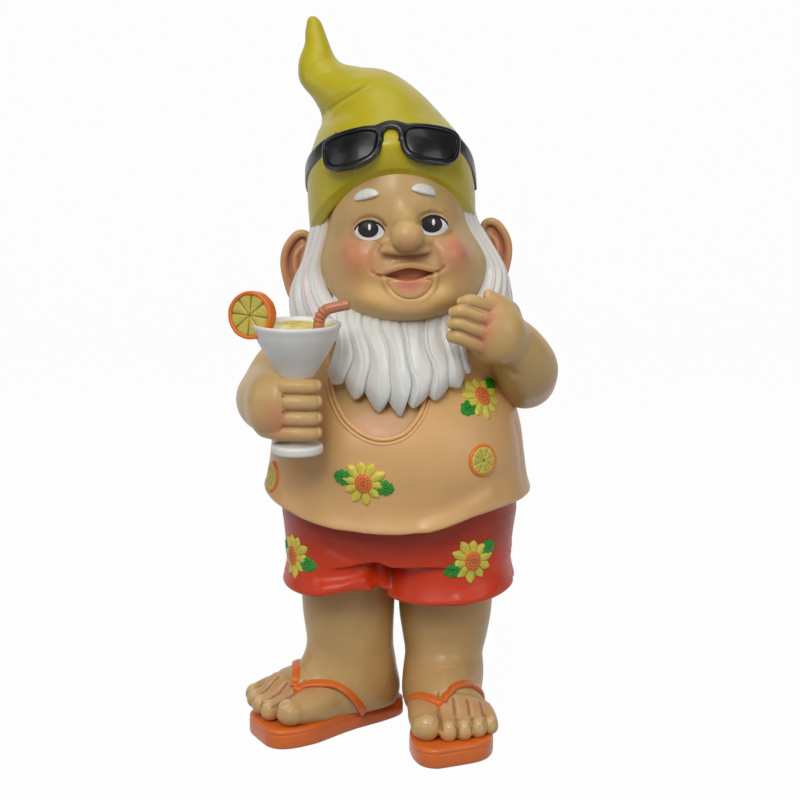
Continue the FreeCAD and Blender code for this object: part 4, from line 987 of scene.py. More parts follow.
def beard_skins():
    """The beard hangs from the jaw: narrow at the root, fuller and wider below, longest in the
    middle, its edge drawn out into the tips of the locks."""
    near = ((-34.5, -33.0, 253.5), (-33.0, -42.0, 244.0), (-32.0, -50.0, 232.0), (-35.0, -54.0, 221.0),
            (-38.5, -53.0, 211.5))
    far = ((35.0, -34.0, 254.0), (34.0, -43.0, 244.0), (35.0, -50.0, 232.0), (38.0, -54.0, 222.0),
           (41.5, -52.0, 212.5))
    return [tress_skin(near, far, (0, -1, 0.05), (12, 14.5, 15, 14, 12.5), (9.5, 12, 15, 18, 21),
                       BEARD_KNOTS, (1.3, 2.7), sunk=11.0, power=0.85, wave=1.0, phase=0.6, rows=84,
                       columns=260, rosy=0.25)]


@functools.cache
def hair_core():
    """The mass under the locks: a cap behind the face that widens to the shoulders."""
    clay = Clay((-66, -22, 222), (72, 56, 318), 1.15)
    clay.ball((-1.5, 4, 288), (41, 38, 48))
    clay.ball((3, 8, 250), (54, 35, 27), 18)
    _, y, z = np.meshgrid(*clay.axes, indexing="ij", sparse=True)
    clay.field = np.maximum(np.maximum(clay.field, -12 - y), 228 - z).astype(np.float32)
    return clay


def hair_locks():
    """Locks that fan out from under the hat: placed by their angle round the head from the front
    of one ear, past the back, to the other, laid on the core, each ending a little lower or higher."""
    draw = np.random.default_rng(5)
    core, locks = hair_core(), []
    middle = np.array([1.5, 6.0, 0.0])
    for layer in range(2):
        for step in range(19):
            angle = math.radians(-14 + (208 / 18) * (step + 0.5 * layer))
            way = np.array([math.cos(angle), math.sin(angle), 0.0])
            fall = np.linspace(0, 1, 7)[:, None]
            drift = 0.10 * math.sin(7 * angle + layer)
            bend = angle + drift * fall[:, 0] - 0.10 * np.cos(angle) * fall[:, 0]
            heights = 300 - (300 - (236 + draw.uniform(-3, 4) + 4 * layer)) * fall[:, 0]
            outward = np.stack([np.cos(bend), np.sin(bend), 0 * bend], -1)
            start = middle + outward * 75 + np.stack([0 * bend, 0 * bend, heights], -1)
            ground = start.copy()
            for row in range(7):
                ground[row] = core.land(start[row:row + 1], -outward[row])[0]
            route = ground - outward * (1.0 + 1.2 * layer)
            locks.append(lock_skin(route, 7.6, 3.9, way + (0, 0, 0.2), draw.uniform(0.6, 1.8),
                                   draw.uniform(0, 1), 0.9 * (draw.random() > 0.35)))
    return locks


SIDE_KNOTS = ((-1.0, 0.90), (-0.78, 1.0), (-0.52, 0.90), (-0.25, 0.99), (0.02, 0.88), (0.30, 0.98),
              (0.55, 0.87), (0.78, 0.96), (1.0, 0.86))


def side_tresses():
    """The sheets of hair before the ears: from under the hat they hug the cheek and spread to the
    shoulder, the locks combed outwards."""
    right = tress_skin(
        ((-36.0, -27, 304), (-37.2, -25, 292), (-37.6, -24, 285), (-39.9, -23.5, 276), (-41.3, -24, 265.5),
         (-39.2, -28, 256.5), (-33.5, -38, 247.5), (-27.5, -44, 240), (-27, -43, 227)),
        ((-42.0, -6, 304), (-44.8, -7, 294), (-47.2, -8, 284), (-50.9, -8, 268.2), (-55.0, -8, 260),
         (-58.2, -8, 252), (-59.0, -8, 244), (-59.5, -8, 236), (-60.5, -8, 224)),
        (-0.70, -0.72, 0), (2.5, 4.0, 5.5, 6.5, 7.5), (0, 0), SIDE_KNOTS, (1.2, 2.0), phase=0.4, rosy=0.85)
    left = tress_skin(
        ((32.0, -30, 312), (33.5, -27, 303), (35.5, -25, 290), (40.6, -22.5, 280.7), (44.9, -21, 272.6),
         (47.9, -22, 263.6), (45.5, -29, 254.6), (39.0, -38, 246), (34.0, -42, 234)),
        ((38.5, -8, 312), (40.0, -7, 302), (42.4, -6, 291.6), (46.1, -6, 284.4), (52.1, -6, 274.4),
         (56.7, -6, 266.2), (60.5, -6, 257.9), (64.2, -6, 246.0), (66.0, -6, 232)),
        (0.66, -0.76, 0), (2.5, 4.0, 5.5, 6.5, 7.5), (0, 0), SIDE_KNOTS, (1.2, 2.0), phase=2.1, rosy=0.85)
    return [right, left]


class GNOME_OT_hair(Operator):
    """White hair: a core and the locks carved over it, some with a rosy wash"""
    bl_idname = "gnome.hair"
    bl_label = "Hair"

    def execute(self, context):
        locks = merged([hair_core().skin()] + hair_locks() + side_tresses())
        make("hair_locks", locks, "hair", "hair_white", "hair")
        return {"FINISHED"}


class GNOME_OT_beard(Operator):
    """White beard of thick wavy locks that end in points"""
    bl_idname = "gnome.beard"
    bl_label = "Beard"

    def execute(self, context):
        core = Clay((-48, -70, 196), (52, -8, 262), 1.0)
        core.ball((1, -30, 234), (33, 17, 18))
        core.ball((1, -44, 219), (31, 12, 13), 6)
        make("beard_locks", merged([core.skin()] + beard_skins()), "hair", "hair_white", "beard")
        return {"FINISHED"}


# --- Hat and sunglasses ---

# Each station of the hat: the middle of its ring (x, y, z), its half width and half depth, how far
# it leans back, and how far it leans to the figure's right, in degrees.
HAT_STATIONS = (
    ((-2.1, -6.0, 279.9), 44.9, 61.8, -40.1, -3.2), ((-3.2, -6.0, 304.5), 45.5, 56.2, -26.0, -4.2),
    ((-5.2, -6.0, 325.0), 43.2, 51.0, -14, -6.0), ((-10.6, -5.0, 343.3), 33.2, 38.5, -9, -10.8),
    ((-22.2, -1.0, 357.6), 22.4, 25.0, -5, -33.7), ((-32.6, 3.0, 363.9), 15.4, 17.0, 0, -35.0),
    ((-41.2, 7.0, 369.8), 12.7, 13.0, 0, -22.0), ((-43.8, 11.0, 377.2), 9.9, 10.2, 0, -7.0),
    ((-44.0, 14.0, 385.5), 6.6, 6.9, 0, -4.0), ((-44.8, 16.8, 391.0), 5.5, 5.6, 0, 2.0),
    ((-45.4, 18.6, 395.6), 4.2, 4.2, 0, 0), ((-46.0, 19.4, 398.2), 3.1, 3.1, 0, 0),
    ((-46.2, 19.7, 399.6), 1.7, 1.7, 0, 0))
HAT_ROWS = 150
# how far up the rows, and how deep inside the skin, the section of the lip runs
HAT_LIP = ((3.4, 4.8), (1.4, 4.7), (0.35, 4.3), (0.0, 3.7), (0.15, 3.2), (1.2, 2.1), (2.4, 0.85), (2.75, 0.4),
           (3.1, 0.1), (3.6, 0.0))


def hat_rings(section, around=220):
    """Rings along the hat's bent axis. Each is an ellipse on a plane that leans with the axis, less so
    behind; between stations every size follows a smooth curve. The section says for each ring how
    far it is up the rows, and how deep inside the skin."""
    table = np.array([[*middle, wide, deep, back, aside] for middle, wide, deep, back, aside in HAT_STATIONS])
    at, inset = np.array(section, float).T
    rows = np.stack([np.interp(at, np.arange(HAT_ROWS), part) for part in smooth_path(table, HAT_ROWS).T], -1)
    theta, inset = angles(around), inset[:, None]
    back, aside = np.radians(rows[:, 5])[:, None], np.radians(rows[:, 6])[:, None]
    across = (rows[:, 3:4] - inset) * np.cos(theta)
    deep = (rows[:, 4:5] - inset) * np.sin(theta)
    x = rows[:, 0:1] + across * np.cos(aside)
    y = rows[:, 1:2] + deep * np.cos(back)
    z = rows[:, 2:3] - across * np.sin(aside) + deep * np.sin(back) * (0.73 - 0.27 * np.sin(theta))
    return np.stack([x, y, z], -1)


def hat_skin():
    """From a ceiling inside down to the lip, over its cut edge, and up outside to the tip."""
    inside = [(row, HAT_LIP[0][1]) for row in range(50, 4, -1)]
    outside = [(row, 0.0) for row in range(4, HAT_ROWS)]
    rings = hat_rings([*inside, *HAT_LIP, *outside])
    tip = rings[-1].mean(0) + (0, 0, 0.5)
    cap = np.stack([tip + (rings[-1] - tip) * share for share in (0.7, 0.35)])
    return grid_skin(np.concatenate([rings, cap]))


HAT_CREASES = ((((-37, -8, 349.5), (-35, -15, 352.5), (-32, -19, 355.5), (-26.5, -23, 360.5),
                 (-18.5, -25, 366)), 3.4, 2.8), (((-33, 16, 351.5), (-37, 4, 351.5), (-37, -8, 351)), 2.4,
        2.0), (((-33, -22, 350), (-25, -26, 354), (-14, -28, 360)), 5.0, -0.9),
               (((-46, -3, 366), (-40, -7, 369), (-34, -8, 373)), 3.2, 0.6),
               (((-46, 0, 374), (-42, 1, 376), (-38, 2, 379)), 2.4, 0.5),
               (((-8, -36, 345), (6, -37, 350), (16, -32, 353)), 6.0, 0.5))


def dented(skin, lines):
    """Pushes a skin in along lines by a bell-shaped depth, or out where it is negative."""
    normals, depth = point_normals(skin), np.zeros(len(skin.points))
    for line, width, amount in lines:
        path = smooth_path(line, 40)
        near = np.all((skin.points > path.min(0) - 3 * width) & (skin.points < path.max(0) + 3 * width),
                      axis=1)
        gap = ((skin.points[near][:, None] - path[None]) ** 2).sum(-1).min(1)
        depth[near] += amount * np.exp(-gap / width ** 2)
    skin.points = skin.points - normals * depth[:, None]
    return skin


class GNOME_OT_hat(Operator):
    """Soft pointed hat, its tip bent over and up again, with a rolled lip"""
    bl_idname = "gnome.hat"
    bl_label = "Hat"

    def execute(self, context):
        make("hat_felt", dented(hat_skin(), HAT_CREASES), "hat", "hat_olive", "hat")
        return {"FINISHED"}


# --- Sunglasses, sculpted flat and then bent round the hat ---

BRIDGE_AT = (-3.0, -56.8, 335.2)
LENS_CENTRES = (-21.6, 21.6)
LENS_HALF = (14.6, 9.0)
FRAME_RADIUS = 53.0
FRAME_PITCH = 31.0


def on_hat(points):
    """Flat places (across, up, back) carried on to the hat: the flat frame leans back by its pitch,
    and bends on a radius away from its front, which is back and down the side of the hat."""
    across, up, back = points[..., 0], points[..., 1], points[..., 2]
    turn = across / FRAME_RADIUS
    behind = FRAME_RADIUS - (FRAME_RADIUS - back) * np.cos(turn)
    lean = math.radians(FRAME_PITCH)
    x = BRIDGE_AT[0] + (FRAME_RADIUS - back) * np.sin(turn)
    y = BRIDGE_AT[1] + behind * math.cos(lean) + up * math.sin(lean)
    z = BRIDGE_AT[2] - behind * math.sin(lean) + up * math.cos(lean) + 0.055 * across
    return np.stack([x, y, z], -1)


def lens_edge(u, v, grow):
    """Distance outside a lens: nearly straight above with tight corners, round below."""
    half, high = LENS_HALF[0] + grow, LENS_HALF[1] + grow
    power = np.where(v > 0, 4.0, 2.5)
    gaps = []
    for centre in LENS_CENTRES:
        across = np.abs(u - centre) / (half * (1 + 0.09 * v / high))
        rise = np.abs(v) / high
        gaps.append(((across ** power + rise ** power) ** (1 / power) - 1) * high)
    return np.minimum(*gaps)


def lens_reach(theta):
    """The lens's outline at an angle, as a share of its half sizes: the same powers as its edge."""
    power = np.where(np.sin(theta) > 0, 4.0, 2.5)
    return (np.abs(np.cos(theta)) ** power + np.abs(np.sin(theta)) ** power) ** (-1 / power)


def frame_clay():
    """Two rims and an arched bridge: a rounded slab round both lenses, drawn in behind, with the
    lens seats sunk."""
    clay = Clay((-44, -17, -4.5), (44, 19, 12.5), 0.45)
    u, v, w = np.meshgrid(*clay.axes, indexing="ij", sparse=True)
    outer = lens_edge(u, v, 2.5)
    arch = np.sqrt(u ** 2 + (v - 3.6) ** 2)
    bridge = np.maximum(np.maximum(4.7 - arch, v - 12.9 + 0.04 * u ** 2),
                        np.maximum(2.0 - v, np.abs(u) - 9.5))
    outline = blended(outer, bridge + 0 * outer, 2.0)
    slab = rolled_edge(outline + 0.5 * np.maximum(w - 0.6, 0), np.abs(w - 4.6) - 6.6 + 0 * outline, 1.5)
    seat = np.maximum(lens_edge(u, v, -0.2), w + 0.6) + 0 * slab
    clay.field = np.maximum(slab, -seat).astype(np.float32)
    return clay


def temple_skin(side):
    """One arm: a flat bar carried from the frame's corner back and down the hat to its lip. Its
    places are read off the hat's own rings, by how far up they are and how far round."""
    hat = hat_rings([(row, 0.2) for row in range(HAT_ROWS)])
    if side < 0:
        steps = ((28.5, 143.0), (27, 134), (25, 126), (23, 119), (21, 113), (19, 108), (17.2, 104.5))
    else:
        steps = ((27, 188.0), (25.5, 195), (23, 201), (20.5, 207), (18, 212), (15, 216), (12.5, 219))
    row, column = smooth_path(steps, 60).T
    low, part = row.astype(int), (row % 1)[:, None]
    left, share = column.astype(int) % 220, (column % 1)[:, None]
    right = (left + 1) % 220
    path = ((hat[low, left] * (1 - share) + hat[low, right] * share) * (1 - part)
            + (hat[low + 1, left] * (1 - share) + hat[low + 1, right] * share) * part)
    inward = unit(np.array([HAT_STATIONS[1][0]]) * (1, 1, 0) + (0, 0, 1) * path - path)
    half = np.stack([np.linspace(4.8, 2.7, 60), np.full(60, 1.5)], -1)[:, None]
    return grid_skin(carried(path, -inward, round_profile(28, power=4) * half)[:, ::-1])


class GNOME_OT_sunglasses(Operator):
    """Black sunglasses pushed up on the hat"""
    bl_idname = "gnome.sunglasses"
    bl_label = "Sunglasses"

    def execute(self, context):
        flat = frame_clay().skin()
        flat.points = on_hat(flat.points)
        make("sunglasses_rims", flat, "black", "gloss_black", "sunglasses_frame")
        lenses = []
        theta = angles(90)
        share = np.concatenate([[1.0, 1.0, 1.0], np.linspace(0.97, 0.05, 16)])[:, None]
        for centre in LENS_CENTRES:
            up = share * lens_reach(theta) * np.sin(theta) * (LENS_HALF[1] - 0.55)
            across = share * lens_reach(theta) * np.cos(theta) * (LENS_HALF[0] - 0.55)
            across = across * (1 + 0.09 * up / LENS_HALF[1])
            back = -1.15 - 1.3 * (1 - share ** 2) + 0 * theta
            back[:3] += np.array([4.0, 1.2, 0.35])[:, None]
            lenses.append(grid_skin(on_hat(np.stack([centre + across, up, back], -1))))
        make("sunglasses_dark_lenses", merged(lenses), "lens", "lens_black", "sunglasses_lenses")
        arms = merged([temple_skin(-1), temple_skin(1)])
        make("sunglasses_arms", arms, "black", "gloss_black", "sunglasses_temples")
        return {"FINISHED"}


# --- Vest, neckline and shorts ---

BODY_Y = -9.0
NECKLINE = ((-36, 208), (-34, 200), (-29.6, 191.8), (-24.2, 186.4), (-16.6, 182.0), (-8.6, 180.1),
            (-0.6, 181.2), (6.2, 184.8), (12.7, 192.6), (16.0, 201), (18.5, 210))
# the height of the hem at bearings from the front, in degrees
HEM = ((-180, 135), (-130, 139), (-92, 143), (-75, 142.8), (-57, 138.9), (-43, 134.8), (-28, 131.8),
       (-9, 130.4), (6, 130.5), (20, 132.5), (30, 135.4), (40, 138.2), (57, 140.8), (77, 141.6),
       (95, 141.5), (130, 138.5), (180, 135))


def bulged_ring(clay, levels, power=2.35):
    """The distance from a body of stacked rounded rings, and the clay's coordinates. Each level gives
    a height, the middle's x and y, and half sizes across and deep; between levels they follow smooth
    curves. The distance is that of the ring's super-ellipse, (|x/a|^p + |y/b|^p)^(1/p) - 1, times its
    smaller half size."""
    heights = smooth_path([level[0] for level in levels], 60)
    sizes = smooth_path([level[1:] for level in levels], 60)
    x, y, z = np.meshgrid(*clay.axes, indexing="ij", sparse=True)
    cx, cy, a, b = (np.interp(z, heights, sizes[:, column]).astype(np.float32) for column in range(4))
    ring = (np.abs((x - cx) / a) ** power + np.abs((y - cy) / b) ** power) ** (1 / power)
    side = (ring - 1) * np.minimum(a, b)
    return side, x, y, z


def rolled_edge(side, below, radius):
    """Where two distances meet, the larger of them, with the corner turned on a radius."""
    corner = np.sqrt(np.maximum(side + radius, 0) ** 2 + np.maximum(below + radius, 0) ** 2) - radius
    return np.where((side > -radius) & (below > -radius), corner, np.maximum(side, below)).astype(np.float32)


@functools.cache
def vest_clay():
    """A rounded body on a bell-shaped hem. The hem is a wavy sheet that dips over the belly, its
    edge rolled; soft folds are drawn on the cloth."""
    clay = Clay((-84, -84, 120), (84, 62, 240), 0.95)
    levels = ((118, 0, -9, 76, 66), (127, 0, -9, 75.5, 65), (134, -0.3, -9, 76.6, 62.5),
              (141, -0.4, -9, 75.4, 60.5), (150, 0.0, -9.5, 72.3, 60.0), (164, 0.1, -10, 70.2, 60.5),
              (178, 0, -9.5, 68.5, 59.0), (192, -0.2, -8, 65.0, 54.5), (206, -0.3, -5, 60.0, 47.5),
              (220, 0, -2, 54, 39), (232, 0, 0, 44, 29), (243, 0, 2, 28, 18))
    side, x, y, z = bulged_ring(clay, levels)
    bearing = np.degrees(np.arctan2(x, -(y - BODY_Y)))
    hem = np.interp(bearing, *smooth_path(HEM, 140).T)
    clay.field = rolled_edge(side, hem - z, 2.2)
    clay.folds((
        (((-56, 147), (-53, 155), (-49, 168)), 6, 1.0),
        (((60, 156), (46, 151), (30, 144), (14, 139)), 7, 1.0),
        (((50, 149), (34, 141), (17, 134)), 4.5, -1.1),
        (((-24, 136), (-32, 146), (-36, 156)), 7, 0.5),
        (((64, -30, 146), (66, -30, 160), (64, -30, 180)), 5, 0.8),
        (((-72, 8, 134), (-69, 10, 152), (-66, 10, 175)), 5, 0.8),
        (((-40, 38, 134), (-36, 44, 155), (-30, 44, 180)), 6, 0.9),
        (((30, 42, 134), (32, 46, 150), (26, 44, 175)), 6, 0.9),
        (((0, 48, 134), (-2, 50, 155)), 5, 0.8)))
    return clay


def neck_distance(points):
    """How far places lie outside the neckline, seen from the front; below nought inside it."""
    path = smooth_path(NECKLINE, 120)
    gap = np.sqrt(((points[:, None, (0, 2)] - path[None]) ** 2).sum(-1)).min(1)
    floor = np.interp(points[:, 0], path[:, 0], path[:, 1], left=300, right=300)
    return np.where(points[:, 2] > floor, -gap, gap)


class GNOME_OT_vest(Operator):
    """Sleeveless vest with a wavy hem, its bound neckline, and the chest in it"""
    bl_idname = "gnome.vest"
    bl_label = "Vest"

    def execute(self, context):
        clay = vest_clay()
        skin = clay.skin()
        front = skin.points[:, 1] < BODY_Y
        gap = np.where(front, neck_distance(skin.points), 50)
        sunk = np.clip((1.6 - gap) / 2.4, 0, 1)
        skin.points -= point_normals(skin) * (2.6 * sunk * sunk * (3 - 2 * sunk))[:, None]
        make("vest_cloth", skin, "vest", "vest_apricot", "vest")
        chest = clay.skin()
        keep = (chest.points[:, 1] < BODY_Y) & (neck_distance(chest.points) < 3.0)
        inner = chest.points - point_normals(chest) * 1.9
        faces = chest.quads[keep[chest.quads].all(1)]
        shell = thick_sheet(inner, faces, point_normals(chest), 3.0)
        shell.paint["blush"] = 0.15 * np.exp(-(neck_distance(shell.points) / 4) ** 2) \
            + 0.45 * hills(shell.points, [(-18, -64, 190), (-6, -64, 186)], 10)
        make("chest_skin", shell, "skin", "skin", "chest")
        bands = []
        for offset, radius in ((-0.9, 1.25), (1.4, 1.1)):
            path = smooth_path(NECKLINE, 90)
            slope = unit(np.gradient(path, axis=0))
            path = path + offset * np.stack([slope[:, 1], -slope[:, 0]], -1)
            route = on_front(clay, path) + (0, 0.5, 0)
            bands.append(grid_skin(carried(route, (0, -1, 0), round_profile(14) * radius)[:, ::-1]))
        make("neck_binding_cord", merged(bands), "vest", "vest_apricot", "neck_binding")
        return {"FINISHED"}


def thick_sheet(points, faces, normals, depth):
    """A sheet of faces with a wall behind it: the same points pushed in along their normals, and
    quads along the open edge between the two."""
    used, renumbered = np.unique(faces, return_inverse=True)
    faces = renumbered.reshape(faces.shape)
    front, back = points[used], points[used] - depth * normals[used]
    count = len(used)
    a, b = faces.reshape(-1), np.roll(faces, -1, 1).reshape(-1)
    forward, backward = a * count + b, b * count + a
    open_edge = ~np.isin(forward, backward)
    rim = np.stack([b[open_edge], a[open_edge], a[open_edge] + count, b[open_edge] + count], -1)
    return Skin(np.concatenate([front, back]), np.concatenate([faces, faces[:, ::-1] + count, rim]))


SHORTS_Y = -8.5
# where the painted shadow of the vest on the shorts starts, how that rises to the sides, and how soon it is
# full
SHADE_FROM, SHADE_SLANT, SHADE_DEPTH = 102, 0.10, 16
# the middle of each trouser leg, its half width, and the height of its hem along x
SHORTS_LEGS = (
    (-31.0, 30.4, ((-70, 90), (-46, 90.2), (-35, 92.0), (-22, 93.8), (-8, 91.0), (8, 90))),
    (28.0, 35.2, ((-14, 86.6), (0, 86.2), (24, 86.2), (41, 87), (57, 89), (70, 91))))


@functools.cache
def shorts_clay():
    """Hips blended into two flared legs, a deep fold between them, rolled hems, and soft creases."""
    clay = Clay((-76, -68, 74), (78, 52, 148), 0.8)
    x, y, z = np.meshgrid(*clay.axes, indexing="ij", sparse=True)
    wide = 62.6 + 2.9 * np.clip((z - 113) / 17, 0, 1)
    hips = ((np.abs((x - 1.2) / wide) ** 2.3 + np.abs((y + 8) / 49) ** 2.3) ** (1 / 2.3) - 1) * 49
    clay.field = np.maximum(np.maximum(hips, (108 - z) * 0.8), z - 146).astype(np.float32)
    for cx, half, hem in SHORTS_LEGS:
        flare = np.clip((112 - z) / 20, 0, 1.3) ** 2
        a, b = half + 2.9 * flare, 43.5 + 3.5 * flare
        side = ((np.abs((x - cx) / a) ** 2.4 + np.abs((y - SHORTS_Y) / b) ** 2.4) ** (1 / 2.4) - 1) * half
        floor = np.interp(x, *smooth_path(hem, 60).T) + 0 * (y + z)
        leg = np.maximum(rolled_edge(side, floor - z, 2.6), z - 145)
        clay.field = blended(clay.field, leg.astype(np.float32), 4)
    clay.folds((
        (((-10.4, 82), (-10.2, 94), (-9.8, 105)), 3.2, 2.4),
        (((-9.8, 102), (-9.4, 109), (-8.8, 116)), 5.0, 1.3),
        (((-13, 109), (-23, 113), (-36, 119)), 4.0, 1.7),
        (((-15, 105), (-27, 103), (-42, 102)), 4.5, 1.2),
        (((-19, 100), (-28, 97.5), (-40, 95)), 3.0, -1.0),
        (((2, 118), (16, 120), (30, 124)), 4.0, 1.0),
        (((34, 90), (44, 91), (54, 94)), 3.0, -0.7),
        (((-4, 44, 80), (-4, 42, 100), (-3, 40, 122)), 4.5, 4.0),
        (((64, -20, 88), (62, -16, 104), (60, -14, 120)), 4.0, 0.9),
        (((-64, -10, 92), (-62, -8, 108), (-60, -8, 122)), 4.0, 0.9)))
    return clay


class GNOME_OT_shorts(Operator):
    """Loose shorts with flared legs and rolled hems"""
    bl_idname = "gnome.shorts"
    bl_label = "Shorts"

    def execute(self, context):
        skin = shorts_clay().skin()
        above = skin.points[:, 2] - SHADE_FROM - SHADE_SLANT * np.abs(skin.points[:, 0])
        skin.paint["shade"] = np.clip(above / SHADE_DEPTH, 0, 1)
        make("shorts_cloth", skin, "shorts", "shorts_red", "shorts")
        return {"FINISHED"}


# --- Motifs laid on the cloth ---

# radii in millimetres, but for the count and the half length and half width of a leaf
PETAL_COUNT = 10
PETAL_TIP, PETAL_ROOT = 11.9, 8.9
FLOWER_EYE = 5.2
LEAF_HALF = (5.3, 4.0)
LEAF_FROM_EYE = 11.2
RIND, FLESH = 8.8, 7.4
# (bearing from the front towards the figure's left, height, turn, angles of the leaves)
VEST_FLOWERS = ((-16.2, 158.4, 8, (168, -14)), (51, 199.6, 0, (205, 36)), (164, 178.0, 20, (200, 30)))
VEST_CITRUS = ((42, 168.2, 20), (-70, 153.4, 50), (-140, 168.8, 0))
# (middle of the trouser leg, and as above)
SHORTS_FLOWERS = ((-31, -40, 110.2, 14, (167, -13)), (30, 13.8, 110.9, -6, (206, 33)),
                  (32, 160, 107.5, 20, (200, 30)))


def spot_on(clay, axis, bearing, height):
    """Where a level line from an upright axis leaves the cloth, and which way the cloth faces."""
    way = np.array([math.sin(math.radians(bearing)), -math.cos(math.radians(bearing)), 0.0])
    start = np.array([[axis[0], axis[1], height]]) + 95 * way
    for _ in range(3):
        start = clay.land(start, -way)
    return start[0], unit(clay.slope(start))[0]


def plane_of(out, turn):
    """Two directions across a surface that faces out: to the right of it, and up, turned by degrees."""
    right = unit(np.cross((0.0, 0.0, 1.0), out))
    up = np.cross(out, right)
    angle = math.radians(turn)
    return right * math.cos(angle) + up * math.sin(angle), up * math.cos(angle) - right * math.sin(angle)


def petal_outline(theta):
    """Pointed petals: the radius swings between root and tip along a rounded tooth."""
    phase = np.abs((theta * PETAL_COUNT / (2 * math.pi)) % 1 - 0.5) * 2
    uneven = 1 + 0.05 * np.sin(3 * theta + 1) + 0.03 * np.sin(7 * theta)
    radius = (PETAL_ROOT + (PETAL_TIP - PETAL_ROOT) * (1 - phase ** 1.25)) * uneven
    return radius * np.cos(theta), radius * np.sin(theta)


def petal_relief(share, theta):
    """Each petal a ridge with a groove to the next, deepest half way out, and two fine veins."""
    phase = np.abs((theta * PETAL_COUNT / (2 * math.pi)) % 1 - 0.5) * 2
    veins = 0.10 * np.cos(phase * 2.5 * math.pi)
    out = np.clip((share - 0.3) / 0.5, 0, 1)
    return 0.55 + 1.15 * np.sqrt(np.maximum(1 - share ** 4, 0)) - out * (0.85 * phase ** 3) + veins * out


def eye_relief(share, theta):
    """A low dome of seeds in rings that spiral."""
    seeds = np.abs(np.sin(7 * theta + 9 * share)) * np.abs(np.sin(11 * share + 0.4))
    return 1.5 + 1.0 * np.sqrt(np.maximum(1 - share ** 2.4, 0)) + 0.42 * seeds * (share < 0.97)


def leaf_outline(angle):
    """A leaf that points along an angle, pointed at both ends and cut into small teeth."""
    way = math.radians(angle)

    def outline(theta):
        along = LEAF_HALF[0] * np.cos(theta)
        side = LEAF_HALF[1] * np.sin(theta) * (0.55 + 0.45 * np.abs(np.sin(theta)) ** 0.5)
        side = side * (1 + 0.12 * np.sin(9 * theta))
        return along * math.cos(way) - side * math.sin(way), along * math.sin(way) + side * math.cos(way)
    return outline


def leaf_relief(share, theta):
    """A roof folded down at the midrib, with side veins."""
    along = share * np.cos(theta)
    side = np.abs(share * np.sin(theta))
    rib = np.exp(-(side / 0.10) ** 2)
    veins = np.exp(-(((along * 3.1 - side * 1.8) % 1 - 0.5) / 0.16) ** 2) * (share < 0.9)
    return 0.5 + 1.0 * np.sqrt(np.maximum(1 - share ** 2.6, 0)) - 0.45 * rib - 0.25 * veins


def rind_relief(share, theta):
    """A raised rim round a sunk face."""
    return 0.4 + 1.3 * np.sqrt(np.maximum(1 - share ** 8, 0)) - 1.2 * np.clip((0.88 - share) / 0.05, 0, 1)


def segment_relief(share, theta):
    """Eight plump segments parted by grooves."""
    part = np.abs(np.sin(4 * theta + 0.3)) ** 0.45 * np.clip(share / 0.2, 0, 1) * np.clip((1 - share) / 0.1,
            0, 1)
    pips = 0.12 * np.sin(15 * share + theta) * np.sin(20 * theta) * part
    return 0.9 + 0.6 * part + pips


def lay_flowers(clay, spots):
    """The three painted parts of some flowers: petals, centres and leaves. A spot is an axis, a
    bearing, a height, a turn, and the angles of its two leaves."""
    petals, eyes, leaves = [], [], []
    for axis, bearing, height, turn, leaf_angles in spots:
        at, out = spot_on(clay, axis, bearing, height)
        _, up = plane_of(out, turn)
        petals.append(laid_pad(clay, at, out, up, petal_outline, petal_relief, 16, 240))
        eyes.append(laid_pad(clay, at, out, up, oval(FLOWER_EYE * 0.92, FLOWER_EYE * 1.08), eye_relief, 14,
                120, 0.5))
        flat_right, flat_up = plane_of(out, 0)
        for angle in leaf_angles:
            way = math.cos(math.radians(angle)) * flat_right + math.sin(math.radians(angle)) * flat_up
            leaves.append(laid_pad(clay, at + LEAF_FROM_EYE * way, out, flat_up, leaf_outline(angle),
                    leaf_relief, 16, 120, 0.6))
    return merged(petals), merged(eyes), merged(leaves)


class GNOME_OT_motifs(Operator):
    """Sunflowers, leaves and citrus slices in low relief on the vest and the shorts"""
    bl_idname = "gnome.motifs"
    bl_label = "Motifs"

    def execute(self, context):
        vest, shorts = vest_clay(), shorts_clay()
        on_vest = [((0, BODY_Y), *row) for row in VEST_FLOWERS]
        on_shorts = [((x, SHORTS_Y), *row) for x, *row in SHORTS_FLOWERS]
        for word, clay, spots in (("vest", vest, on_vest), ("shorts", shorts, on_shorts)):
            petals, eyes, leaves = lay_flowers(clay, spots)
            make(f"{word}_petals", petals, "petal", "petal_yellow", f"{word}_flower_petals")
            make(f"{word}_flower_eyes", eyes, "centre", "centre_orange", f"{word}_flower_centres")
            make(f"{word}_leaves", leaves, "leaf", "leaf_green", f"{word}_flower_leaves")
        rinds, flesh = [], []
        for bearing, height, turn in VEST_CITRUS:
            at, out = spot_on(vest, (0, BODY_Y), bearing, height)
            _, up = plane_of(out, turn)
            rinds.append(laid_pad(vest, at, out, up, oval(RIND, RIND), rind_relief, 16, 120))
            flesh.append(laid_pad(vest, at, out, up, oval(FLESH, FLESH), segment_relief, 18, 160, 0.3))
        make("citrus_rinds", merged(rinds), "rind", "rind_yellow", "vest_citrus_rinds")
        make("citrus_segments", merged(flesh), "flesh", "flesh_yellow", "vest_citrus_flesh")
        return {"FINISHED"}


# --- Glass, drink, straw and fruit slice ---

def middle_of(node):
    """The middle of a CAD node's box, in the figure's frame."""
    low, high = (np.array(corner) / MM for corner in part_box(node))
    return (low + high) / 2 - FIGURE_AT


def box_of(node):
    """The lowest and highest corners of a CAD node's box, in the figure's frame."""
    return tuple(np.array(corner) / MM - FIGURE_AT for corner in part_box(node))


